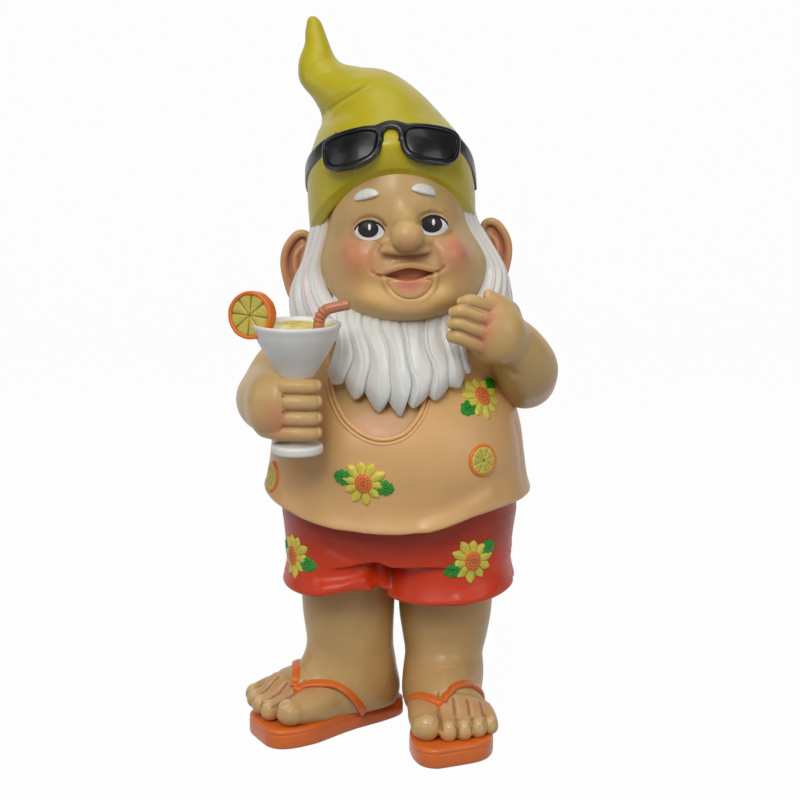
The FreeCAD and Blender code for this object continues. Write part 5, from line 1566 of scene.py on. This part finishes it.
def turned_form(centre, profile, around=96, wobble=0.0):
    """A profile of (radius, height) turned round an upright axis; a hand-made wobble may be added."""
    profile = np.asarray(profile, float)
    theta = angles(around)
    radius = profile[:, :1] * (1 + wobble * np.sin(3 * theta + 0.4) + wobble * np.sin(5 * theta))
    return np.stack([centre[0] + radius * np.cos(theta), centre[1] + radius * np.sin(theta),
                     profile[:, 1:] + 0 * theta], -1)


def glass_profile(rim, foot, rim_z, base_z, stem=4.2):
    """Foot, stem, a cone that swells towards the rolled rim, and back down inside the bowl."""
    outside = smooth_path([(0.2, base_z), (foot * 0.7, base_z), (foot - 0.7, base_z + 0.2),
                           (foot, base_z + 2.2), (foot - 0.8, base_z + 4.6), (foot * 0.55, base_z + 5.6),
                           (stem + 0.6, base_z + 8), (stem, base_z + 14), (stem, rim_z - 36),
                           (stem + 1.2, rim_z - 31.5), (rim - 14.3, rim_z - 27.6),
                           (rim - 10.4, rim_z - 21.4), (rim - 6.2, rim_z - 14.8), (rim - 2.9, rim_z - 8.6),
                           (rim - 1.2, rim_z - 4.2), (rim - 0.2, rim_z - 1.5), (rim - 0.5, rim_z - 0.1),
                           (rim - 1.5, rim_z), (rim - 2.4, rim_z - 1.3)], 150)
    inside = smooth_path([(rim - 2.6, rim_z - 1.7), (rim - 4.2, rim_z - 5), (rim - 9, rim_z - 14),
                          (0.2, rim_z - 22)], 24)
    return np.concatenate([outside, inside])


def slice_turn(points, centre):
    """A slice made lying flat, stood up and turned a little to the figure's right."""
    return points @ matrix_of((90, 0, 0)).T @ matrix_of((-6, 0, -24)).T + centre


def slice_face(radius, thick, segments=8):
    """Polar height field of a cut fruit: between ring and middle, each segment is a rounded pillow
    with fine pips of juice, parted from the next by a groove."""
    theta = angles(240)
    share = np.linspace(1, 0.03, 46)[:, None]
    part = np.abs(np.sin(theta * segments / 2 + 0.25)) ** 0.5
    pillow = part * np.clip(share / 0.18, 0, 1) ** 0.5 * np.clip((1 - share) / 0.12, 0, 1) ** 0.5
    juice = 0.10 * np.sin(18 * share + 3 * np.sin(4 * theta)) * np.sin(16 * theta + 5 * share) * pillow
    height = thick + 0.75 * pillow + juice - 0.35
    radius = radius * share
    face = np.stack([radius * np.cos(theta), radius * np.sin(theta), height], -1)
    crease = np.clip(1.1 - 1.5 * pillow, 0, 1) * (share < 0.97) + 0 * theta
    return face, crease


class GNOME_OT_glass(Operator):
    """White cocktail glass and the drink in it"""
    bl_idname = "gnome.glass"
    bl_label = "Glass and drink"

    def execute(self, context):
        low, high = box_of("glass")
        centre = (low + high) / 2
        rim, rim_z, base_z = (high[0] - low[0]) / 2, high[2], low[2]
        profile = glass_profile(rim, 13.4, rim_z, base_z)
        make("cocktail_glass", grid_skin(turned_form(centre, profile, 120, 0.004)), "glass",
             "glass_white", "glass")
        level = rim_z - 2.1
        t = np.linspace(0, 1, 14)
        surface = np.stack([(rim - 1.9) * (1 - t) + 0.3 * t, level + 0.5 * t + 0.35 * np.sin(9 * t)], -1)
        bottom = np.array([(0.3, level - 6), (rim - 7.5, level - 5.5), (rim - 2.6, level - 0.8)])
        rings = turned_form(centre, np.concatenate([bottom, surface]), 96, 0.0)
        theta = angles(96)
        ripple = 0.25 * np.sin(4 * theta + 6 * np.linspace(0, 1, len(rings))[:, None])
        rings[3:-2, :, 2] += ripple[3:-2]
        make("drink_surface", grid_skin(rings), "drink", "drink_yellow", "drink")
        return {"FINISHED"}


BORE_RADIUS = 1.75


class GNOME_OT_straw(Operator):
    """Bent drinking straw with its ribbed elbow and open end"""
    bl_idname = "gnome.straw"
    bl_label = "Straw"

    def execute(self, context):
        route = [(-41.5, -85.5, 236), (-40.2, -85.4, 243), (-39.2, -85.2, 248.3), (-36.6, -85, 252.2),
                 (-31.5, -85, 254.0), (-24.6, -85, 255.4)]
        path = smooth_path(route, 150)
        length = np.concatenate([[0], np.cumsum(np.linalg.norm(np.diff(path, axis=0), axis=1))])
        elbow = np.exp(-((length - 14.0) / 4.6) ** 4)
        radius = 2.85 + elbow * (0.15 + 0.38 * np.cos(length * 2 * math.pi / 2.3))
        rings = carried(path, (0, -1, 0), round_profile(40) * radius[:, None, None])
        back = carried(path[-23:], (0, -1, 0), round_profile(40) * BORE_RADIUS)[::-1]
        lip = (rings[-1] * 0.5 + back[0] * 0.5) + unit(path[-1] - path[-2]) * 0.35
        make("drinking_straw", grid_skin(np.concatenate([rings, lip[None], back])[:, ::-1]), "straw",
             "straw_copper", "straw")
        return {"FINISHED"}


class GNOME_OT_fruit_slice(Operator):
    """Orange slice on the rim, its flesh carved in eight segments on both sides"""
    bl_idname = "gnome.fruit_slice"
    bl_label = "Fruit slice"

    def execute(self, context):
        centre = middle_of("fruit_slice_rind")
        rim, half, flesh = 12.4, 3.3, 10.4
        theta = angles(160)
        radial, height = round_profile(32, (rim - flesh) / 2, half + 0.35, 5).T
        radial = radial + (rim + flesh) / 2
        uneven = 1 + 0.006 * np.sin(5 * theta) + 0.004 * np.sin(11 * theta + 1)
        x = radial * (np.cos(theta) * uneven)[:, None]
        y = radial * (np.sin(theta) * uneven)[:, None]
        ring = slice_turn(np.stack([x, y, height + 0 * x], -1), centre)
        index = np.arange(160 * 32).reshape(160, 32)
        quads = np.stack([index, np.roll(index, -1, 0), np.roll(np.roll(index, -1, 0), -1, 1),
                          np.roll(index, -1, 1)], -1)
        make("orange_slice_rind", Skin(ring, quads), "rind", "rind_orange", "fruit_slice_rind")
        sides = []
        for way in (1, -1):
            face, crease = slice_face(flesh + 0.2, half - 0.5)
            face = face * (1, way, way)
            back = face[:1] * (1, 1, 0)
            skin = grid_skin(slice_turn(np.concatenate([back, face]), centre),
                             crease=np.concatenate([crease[:1], crease]))
            sides.append(skin)
        make("orange_slice_flesh", merged(sides), "flesh", "flesh_yellow", "fruit_slice_flesh")
        return {"FINISHED"}


# --- Arms and hands ---

STEM_AT = (-51.7, -79.4)
FIST_ROWS = ((213.2, 4.0), (205.0, 4.5), (196.4, 4.3), (188.6, 4.1))


def fist_route(z):
    """A finger's way round the stem: from the knuckle, over the front, and back in behind it."""
    x, y = STEM_AT
    return ((x - 17.5, y + 3, z), (x - 9.5, y - 5.6, z + 0.1), (x + 0.5, y - 9.0, z + 0.3),
            (x + 7.2, y - 7.8, z), (x + 9.8, y - 3.4, z - 0.3), (x + 9.2, y + 2.0, z - 0.4))


@functools.cache
def right_arm_clay():
    """Upper arm, forearm and the back of the hand as one soft mass, four fingers closed round the
    stem, the thumb behind it, and the folds of the elbow."""
    clay = Clay((-94, -97, 172), (-34, 18, 240), 0.55)
    clay.tube(((-50, 2, 219), (-62, -8, 208.5), (-67.5, -20, 199), (-68.5, -36, 196.8)),
              [16.5, 17.0, 17.8, 18.2])
    clay.tube(((-68, -34, 197), (-67.8, -50, 198.8), (-65.5, -62, 200), (-62.5, -71, 201)),
              [17.6, 17.2, 16.2, 13.5], 2.2)
    clay.ball((-66.0, -74, 201.6), (12.5, 16.5, 18.2), 4)
    clay.ball((-61.5, -80, 202.2), (8.0, 12.5, 17.6), 4)
    clay.line(((-86, -30, 216), (-79, -38, 216.5), (-72, -44, 217), (-62, -48, 219)), 1.6, 1.4)
    for z, radius in FIST_ROWS:
        widths = np.array([0.92, 1.05, 1.0, 0.96, 0.86, 0.7]) * radius
        clay.tube(fist_route(z), widths, 0.9)
    clay.tube(((-62, -64, 211), (-55, -68, 215.5), (-47, -71.5, 215)), [5.4, 4.8, 4.0], 2.0)
    for z in (209.2, 200.7, 192.4):
        x, y = STEM_AT
        clay.line(((x - 6.5, y - 11.5, z), (x - 1, y - 13.5, z), (x + 8, y - 11.5, z), (x + 12, y - 6, z)),
                  0.7, 0.9)
    return clay


@functools.cache
def left_arm_clay():
    """Upper arm and bent forearm, the broad back of the hand, four fingers side by side on the
    chest, and the raised thumb."""
    clay = Clay((16, -84, 184), (93, 20, 266), 0.55)
    clay.tube(((48, 2, 220), (62, -6, 211), (70, -19, 205.5)), [16.0, 16.8, 16.4])
    clay.tube(((70, -18, 206), (69.5, -31, 213), (64.0, -43, 224), (58, -52, 234)),
              [16.8, 17.4, 15.6, 12.0], 3)
    clay.ball((51.5, -61.5, 237.0), (15.5, 13.0, 17.2), 6, turn=(0, -14, 0))
    fingers = ((((56, -58, 248.6), (47, -66.0, 251.6), (38.5, -70.5, 255.2), (33.4, -70.0, 254.6)),
                (4.0, 3.7, 3.4, 2.6)), (((56, -61, 242.5), (46, -69.5, 246.0), (34, -74.0, 250.2),
            (29.2, -73.0, 249.6)), (4.2, 3.9, 3.5, 2.8)), (((54, -63, 235.5), (44, -70.8, 239.4),
            (33, -74.4, 243.8), (28.6, -73.6, 243.6)), (4.3, 4.0, 3.7, 2.9)),
               (((52, -61, 227.5), (42, -69.0, 232.0), (33, -73.2, 236.6), (28.6, -72.4, 236.8)),
                (4.6, 4.4, 4.1, 3.3)))
    for route, radii in fingers:
        clay.tube(route, radii, 1.3)
    clay.tube(((58, -55, 247), (53.0, -59, 251.8), (47.8, -61, 257.0)), [6.4, 5.2, 3.0], 4.0)
    gaps = (((27, -74, 252.9), (36, -75, 252.8), (42, -74, 250.5), (45, -73, 249.6)),
            ((25, -76, 247.0), (34, -77, 246.8), (39, -76, 244.8), (43, -75, 243.2)),
            ((24, -76, 240.3), (32, -77, 240.3), (37, -76, 238.0), (41, -75, 236.4)))
    for gap in gaps:
        clay.line(gap, 0.7, 0.7)
    clay.line(((50, -66, 219), (60, -56, 215), (70, -44, 215)), 3.0, 0.9)
    return clay


def nail_pads(clay, spots, wide, high):
    """Small rounded nails laid on the clay. A spot is its place, which way it faces, and its up."""
    return merged([laid_pad(clay, place, out, up, oval(wide, high), dome(0.25, 0.12), 5, 28, 0.7)
                   for place, out, up in spots])


class GNOME_OT_arms(Operator):
    """Both arms with their hands, rosy at the knuckles and elbow, and the small nails of the fist"""
    bl_idname = "gnome.arms"
    bl_label = "Arms and hands"

    def execute(self, context):
        clay = right_arm_clay()
        skin = washed(clay.skin(), "blush", (0.7, [(-62, -89, 200), (-61, -89, 192)], 6.5),
                      (0.25, [(-52, -92, 188)], 6), (0.3, [(-84, -30, 196)], 12))
        make("right_arm_skin", skin, "skin", "skin", "right_arm", "right_hand")
        x, y = STEM_AT
        spots = [((x + 12.4, y - 7.0, z), (0.72, -0.70, 0), (0, 0, 1)) for z, _ in FIST_ROWS]
        make("right_fingernails", nail_pads(clay, spots, 1.9, 2.7), "nail", "nail")
        knuckles = [(49, -71, 249), (47.5, -73, 244), (45, -73, 238), (43.5, -72, 230.5)]
        skin = washed(left_arm_clay().skin(), "blush", (0.62, knuckles, 5.0),
                      (0.5, [(84, -32, 205), (86, -22, 212)], 10), (0.45, [(50, -62, 254)], 5))
        make("left_arm_skin", skin, "skin", "skin", "left_arm", "left_hand")
        return {"FINISHED"}


# --- Legs, feet and sandals. A foot is made as the right one, its heel's end at nought and its toes
# towards -Y, and then stood in its place; for the left it is mirrored first.

STANDS = {-1: ((-3.0, 22.0), -55.0), 1: ((22.2, 24.0), 6.0)}
SOLE_HEEL, SOLE_HALF, SOLE_TOP = 2.0, 23.8, 11.2
# each footbed's length, how far its outer front corner slants back, and its wider inner side
SOLE_SHAPES = {-1: (95.5, 0.15, 1.8), 1: (99.5, 0.32, 0.0)}
# the middle line of each leg, from under the shorts to the ankle, and its half widths
SHINS = {-1: (((-27.8, 0, 98), (-27.8, -0.5, 74), (-27.3, -0.5, 60), (-26.4, 1, 46), (-25.2, 4, 33),
               (-23.5, 7, 19)), (26.8, 26.3, 25.2, 24.2, 24.0, 20.0)),
         1: (((27.8, 0, 98), (27.4, -0.5, 74), (27.2, -0.5, 60), (26.8, 0, 45), (26.9, 0, 32),
              (26.0, 3, 19)), (26.8, 26.6, 24.8, 22.2, 21.9, 19.0))}
# (across, along, half width, half length, half height, lift) of each toe, the big one first
TOES = {-1: ((14.6, -75.5, 8.2, 12.0, 8.4, 0.6), (2.7, -81.5, 4.8, 9.5, 6.5, 1.2),
             (-6.4, -82.0, 4.6, 9.2, 6.3, 2.0), (-15.2, -80.5, 4.5, 8.8, 6.0, 2.8),
             (-23.4, -77.0, 4.3, 8.4, 5.8, 3.4)), 1: ((14.6, -75.5, 8.2, 12.0, 8.4, 0),
        (2.7, -79.3, 4.8, 9.0, 6.6, 0), (-5.9, -78.5, 4.6, 8.6, 6.4, 0), (-14.1, -75.6, 4.5, 8.2, 6.1, 0),
        (-21.4, -71.4, 4.2, 7.8, 5.7, 0))}
STRAP_POST = (6.6, -69.0)
# the rays that place the straps: degrees round the foot's axis, and how far along it
INNER_RAYS = {-1: ((71, -70.5), (65, -66), (55, -59.5), (44, -52), (28, -44.5), (10, -38.5), (-8, -34),
                   (-20, -31.5)), 1: ((71, -70.5), (63, -67.5), (50, -62.5), (38, -56), (24, -50),
        (8, -44.5), (-8, -40), (-20, -37))}
OUTER_RAYS = ((71, -70.5), (84, -67), (102, -62.5), (120, -57), (138, -51), (156, -46), (176, -42),
              (196, -39))
STRAP_HALF = (2.45, 1.25)


def stood(points, side):
    """Places in the foot's own frame, carried to where the foot stands."""
    (x, y), degrees = STANDS[side]
    points = np.asarray(points, float) * (-side, 1, 1)
    return points @ matrix_of((0, 0, degrees)).T + (x, y, 0)


def stood_skin(skin, side):
    """A skin carried to where the foot stands; the mirrored one is turned the right way out."""
    skin.points = stood(skin.points, side)
    if side > 0:
        skin.quads, skin.triangles = skin.quads[:, ::-1], skin.triangles[:, ::-1]
    return skin


def from_stand(points, side):
    """Places on the figure, carried back into the foot's own frame."""
    (x, y), degrees = STANDS[side]
    return (np.asarray(points, float) - (x, y, 0)) @ matrix_of((0, 0, -degrees)).T * (-side, 1, 1)


@functools.cache
def leg_clay(side):
    """Calf, ankle, heel and instep blended, five plump toes joined on, creases between them."""
    clay = Clay((-31, -93, 6.5), (38, 42, 98), 0.66)
    middle, half = SHINS[side]
    clay.tube(from_stand(middle, side), half, steps=30)
    clay.ball((0, -18, 17), (18.6, 18, 15), 8)
    clay.ball((0.4, -37, 23), (19.4, 31, 23.5), 12)
    clay.ball((-2.2, -60, 16), (22.6, 20, 14.0), 9)
    if side < 0:
        clay.ball((-13, -60, 20), (14, 20, 12.5), 8)
    for x, y, wide, long, high, lift in TOES[side]:
        z = SOLE_TOP + high * 0.86 + lift
        route = ((x * 0.93, y + 1.6 * long, z + 3.4), (x * 0.98, y + 0.8 * long, z + 2.4), (x, y, z + 0.3),
                 (x, y - 0.40 * long, z - 0.9))
        clay.tube(route, [high * 0.84, high * 0.84, high * 0.84, high * 0.80], 1.2)
        clay.ball((x, y - 0.30 * long, z - 0.3), (wide, long * 0.64, high * 0.88), 1.0)
    clay.ball((12.5, -62, 18.5), (10, 16, 10), 3)
    clay.ball((14.2, -69, 18.2), (8.4, 14, 8.0), 2)
    for (x, y, wide, *_), (next_x, _, next_wide, *_) in zip(TOES[side][:-1], TOES[side][1:]):
        middle = (x - wide + next_x + next_wide) / 2
        crease = ((middle * 0.97, y + 10, 26), (middle, y + 3, 23), (middle, y - 5, 19), (middle, y - 10, 12))
        clay.line(clay.land(np.array(crease) + (0, 0, 8), (0, 0, -1)), 0.9, 1.7)
    wrinkle = clay.land([(x, y + 12.5, 45) for x, y, *_ in TOES[side][1:]], (0, 0, -1))
    clay.line(wrinkle, 1.2, 0.7, 20)
    x, y, z = np.meshgrid(*clay.axes, indexing="ij", sparse=True)
    clay.field = np.maximum(clay.field, SOLE_TOP - 0.5 - z).astype(np.float32)
    return clay


def strap_skin(side, way):
    """One band of the thong: from the post it climbs the instep and comes down to the footbed. Its
    places are where rays from the foot's axis, at falling angles, leave the foot."""
    clay = leg_clay(side)
    rays = smooth_path(INNER_RAYS[side] if way > 0 else OUTER_RAYS, 60)
    angle = np.radians(rays[:, 0])
    out = np.stack([np.cos(angle), 0 * angle, np.sin(angle)], -1)
    axis = np.stack([np.full(60, 1.0 if way > 0 else -1.0), rays[:, 1], np.full(60, 13.0)], -1)
    path = clay.land(axis + 44 * out, -out) + 0.55 * out
    path[:, 2] = np.maximum(path[:, 2], SOLE_TOP - 0.2)
    return grid_skin(carried(path, out, round_profile(24, *STRAP_HALF, 4))[:, ::-1])


def sole_skin(side):
    """The footbed: rings of a squared oval that widens to the toes, their inset and height turned
    round the lower and upper edges, with a moulded line below the upper one."""
    theta = angles(160)
    long, lean, inner = SOLE_SHAPES[side]
    power = 2 / 4.4
    c, s = np.cos(theta), np.sin(theta)
    flat = np.stack([np.sign(c) * np.abs(c) ** power, np.sign(s) * np.abs(s) ** power], -1)
    rim = ((16, 0.0), (2.0, 0.0), (0.8, 0.25), (0.2, 0.9), (0, 1.8), (0, 4.4), (0, 7.2), (0.2, 8.1),
           (0.45, 8.5), (0.25, 8.9), (0.1, 9.4), (0.2, 10.2), (0.6, 10.85), (1.3, SOLE_TOP), (5, SOLE_TOP),
           (11, SOLE_TOP), (17, SOLE_TOP))
    rings = []
    for inset, height in rim:
        y = SOLE_HEEL - long / 2 + (long / 2 - inset) * flat[:, 1]
        along = (SOLE_HEEL - y) / long
        half = SOLE_HALF * (0.70 + 0.30 * np.clip((along - 0.12) / 0.6, 0, 1) ** 1.2) - inset * (1 - 0.15
                * along)
        x = half * flat[:, 0] - 0.9 * np.sin(math.pi * along)
        waist = 1.3 * np.exp(-((along - 0.42) / 0.16) ** 2) * np.clip(flat[:, 0], 0, 1)
        fore = np.clip((along - 0.55) / 0.45, 0, 1)
        slant = lean * np.clip(10 - x, 0, 40) * fore
        rings.append(np.stack([x - waist + inner * fore * np.clip(flat[:, 0], 0, 1), y + slant,
                np.full(160, height)], -1))
    return grid_skin(np.array(rings))


class GNOME_OT_legs(Operator):
    """Legs and bare feet, toenails, footbeds and thongs"""
    bl_idname = "gnome.legs"
    bl_label = "Legs and sandals"

    def execute(self, context):
        for side, word in ((-1, "right"), (1, "left")):
            clay, toes = leg_clay(side), TOES[side]
            tops = [(x * 0.97, y + 0.8 * long, SOLE_TOP + 1.9 * high + lift) for x, y, _, long, high,
                    lift in toes]
            skin = washed(clay.skin(), "blush", (0.50, tops, 5.5),
                          (0.30, [(2, -47, 37), (14, -34, 34), (-14, -34, 34)], 10),
                          (0.30, [(12, -74, 22)], 6))
            nails = [laid_pad(clay, (x, y - 0.62 * long, SOLE_TOP + 1.5 * high + lift), (0, -0.65, 0.76),
                    (0, 1, 0.6), oval(wide * 0.52, high * 0.50), dome(0.3, 0.14), 5, 32, 0.6) for x, y,
                     wide, long, high, lift in toes]
            make(f"{word}_leg_skin", stood_skin(skin, side), "skin", "skin", f"{word}_leg")
            make(f"{word}_foot_nails", stood_skin(merged(nails), side), "nail", "nail",
                 f"{word}_toenails")
            make(f"{word}_footbed", stood_skin(sole_skin(side), side), "sandal", "sandal_orange",
                 f"{word}_sandal_sole")
            x, y = STRAP_POST
            post = Clay((x - 6, y - 6, 8), (x + 6, y + 6, 30), 0.4)
            ground = clay.land([(x, y, 40)], (0, 0, -1))[0]
            post.tube([(x, y - 1.5, ground[2] - 5), (x, y - 0.6, ground[2] - 1),
                       (x, y + 0.4, ground[2] + 0.9)], [1.8, 2.2, 2.0])
            post.ball((x, y + 0.5, ground[2] + 0.6), (3.4, 3.6, 1.9), 0.8)
            straps = merged([strap_skin(side, 1), strap_skin(side, -1), post.skin()])
            make(f"{word}_thong", stood_skin(straps, side), "sandal", "strap_orange",
                 f"{word}_sandal_straps")
        return {"FINISHED"}


# --- Stage ---

# the camera's place, its angle from straight down, and its focal length
CAMERA_AT = (1.6, -1048.0, 393.0)
CAMERA_PITCH = 79.0
LENS = 85.9


class GNOME_sizes(PropertyGroup):
    """Sizes of the stage: the powers of the lamps and the width of the floor."""
    key_light: FloatProperty(name="Key light", description="Power of the large front lamp in watts",
                             default=16.5, min=0.0, unit="POWER")
    fill_light: FloatProperty(name="Fill light", description="Power of the side lamps in watts",
                              default=3.4, min=0.0, unit="POWER")
    floor_reach: FloatProperty(name="Floor", description="Half the width of the floor",
                               default=3.0, min=0.5, unit="LENGTH")


def pale_for_camera(name, albedo):
    """Matt backdrop paper: it takes the figure's soft shadow, and to the camera and in glossy
    and clear surfaces it is lifted towards plain white."""
    paper, tree = new_paint(name)
    rays = put(tree, "LightPath").outputs
    seen = put(tree, "Math", {0: rays["Is Camera Ray"], 1: rays["Is Glossy Ray"]},
               operation="MAXIMUM").outputs[0]
    seen = put(tree, "Math", {0: seen, 1: rays["Is Transmission Ray"]}, operation="MAXIMUM").outputs[0]
    share = put(tree, "Math", {0: seen, 1: 0.97}, operation="MULTIPLY").outputs[0]
    tone = put(tree, "Mix", {0: rays["Is Camera Ray"], 6: tinted(albedo, 0.2), 7: albedo},
               data_type="RGBA").outputs[2]
    matt = put(tree, "BsdfDiffuse", {"Color": tone})
    white = put(tree, "Emission", {"Color": (1, 1, 1, 1), "Strength": 1.0})
    both = put(tree, "MixShader", {0: share, 1: matt.outputs[0], 2: white.outputs[0]})
    put(tree, "OutputMaterial", {"Surface": both.outputs[0]})
    return paper


def floor_skin(reach):
    """A sheet that runs back along the floor and bends up into the backdrop on a quarter circle."""
    bend, columns = 0.9, np.linspace(-reach, reach, 9)
    turn = np.linspace(0, math.pi / 2, 17)
    run = np.concatenate([[-reach], reach * 0.45 + bend * np.sin(turn), [reach * 0.45 + bend]])
    rise = np.concatenate([[0.0], bend * (1 - np.cos(turn)), [reach + bend]])
    x, y = np.meshgrid(columns, run, indexing="ij")
    return np.stack([x, y, np.broadcast_to(rise, x.shape)], -1)


def area_light(name, place, aim, size, power):
    """A square lamp turned to face a place."""
    lamp = bpy.data.lights.new(name, "AREA")
    lamp.shape, lamp.size, lamp.energy = "SQUARE", size, power
    way = np.array(aim) - np.array(place)
    placed(name, lamp, place, (math.atan2(math.hypot(way[0], way[1]), -way[2]), 0,
                               math.atan2(way[0], -way[1]) + math.pi))


class GNOME_OT_stage(Operator):
    """Pale sweep, soft lamps, and the camera at eye height with the hat"""
    bl_idname = "gnome.stage"
    bl_label = "Stage"

    def execute(self, context):
        scene, sizes = context.scene, context.scene.gnome_sizes
        grid = floor_skin(sizes.floor_reach)
        rows, columns = grid.shape[:2]
        index = np.arange(rows * columns).reshape(rows, columns)
        quads = np.stack([index[:-1, :-1], index[1:, :-1], index[1:, 1:], index[:-1, 1:]], -1).reshape(-1, 4)
        paper = pale_for_camera("white_paper", (0.86, 0.86, 0.86, 1))
        sweep = placed("paper_sweep", mesh_of("paper_sweep", Skin(grid, quads), paper))
        middle = (0.0, 0.0, 0.2)
        area_light("key", (-0.5, -1.45, 1.45), middle, 1.1, sizes.key_light)
        area_light("spark", (-0.25, -1.7, 1.35), middle, 0.3, sizes.key_light / 4)
        area_light("fill_right", (1.3, -1.2, 0.8), middle, 1.0, sizes.fill_light * 2)
        area_light("fill_left", (-1.6, -0.3, 0.7), middle, 1.0, sizes.fill_light)
        area_light("top", (0.1, -0.2, 1.9), middle, 1.2, sizes.fill_light * 2)
        world = bpy.data.worlds.new("studio")
        world.use_nodes = True
        tree = world.node_tree
        tree.nodes.clear()
        camera_ray = put(tree, "LightPath").outputs["Is Camera Ray"]
        strength = put(tree, "Mix", {0: camera_ray, 2: 0.16, 3: 1.0}).outputs[0]
        light = put(tree, "Background", {"Color": (1.0, 1.0, 1.0, 1), "Strength": strength})
        put(tree, "OutputWorld", {"Surface": light.outputs[0]})
        scene.world = world
        scene.view_settings.view_transform = "Standard"
        camera = bpy.data.cameras.new("camera")
        camera.lens, camera.sensor_width = LENS, 36.0
        scene.camera = placed("camera", camera, (np.array(CAMERA_AT) + FIGURE_AT) * MM,
                              (math.radians(CAMERA_PITCH), 0, 0))
        return {"FINISHED"}


# --- Add-on ---

STEPS = (GNOME_OT_stage, GNOME_OT_head, GNOME_OT_eyes, GNOME_OT_eyebrows, GNOME_OT_lower_lip, GNOME_OT_ears,
         GNOME_OT_hair, GNOME_OT_beard, GNOME_OT_hat, GNOME_OT_sunglasses, GNOME_OT_vest, GNOME_OT_shorts,
         GNOME_OT_motifs, GNOME_OT_arms, GNOME_OT_legs, GNOME_OT_glass, GNOME_OT_straw,
         GNOME_OT_fruit_slice)


class GNOME_PT_bench(Panel):
    """Lists the steps in which the figure is made, and its colours"""
    bl_idname = "GNOME_PT_bench"
    bl_label = "Garden gnome"
    bl_space_type = "VIEW_3D"
    bl_region_type = "UI"
    bl_category = "Gnome"

    def draw(self, context):
        for step in STEPS:
            self.layout.operator(step.bl_idname)
        for group in (context.scene.gnome_sizes, context.scene.gnome_paints):
            for name in group.__annotations__:
                self.layout.prop(group, name)


CLASSES = (GNOME_paints, GNOME_sizes) + STEPS + (GNOME_PT_bench,)


def register():
    """Makes the steps, the panel and the settings known to the program."""
    for part in CLASSES:
        bpy.utils.register_class(part)
    bpy.types.Scene.gnome_paints = PointerProperty(type=GNOME_paints)
    bpy.types.Scene.gnome_sizes = PointerProperty(type=GNOME_sizes)


def unregister():
    """Takes them away again."""
    del bpy.types.Scene.gnome_paints
    del bpy.types.Scene.gnome_sizes
    for part in reversed(CLASSES):
        bpy.utils.unregister_class(part)


def main():
    """Registers the add-on and takes its steps in order."""
    register()
    for step in STEPS:
        family, name = step.bl_idname.split(".")
        getattr(getattr(bpy.ops, family), name)()


if __name__ == "__main__":
    main()
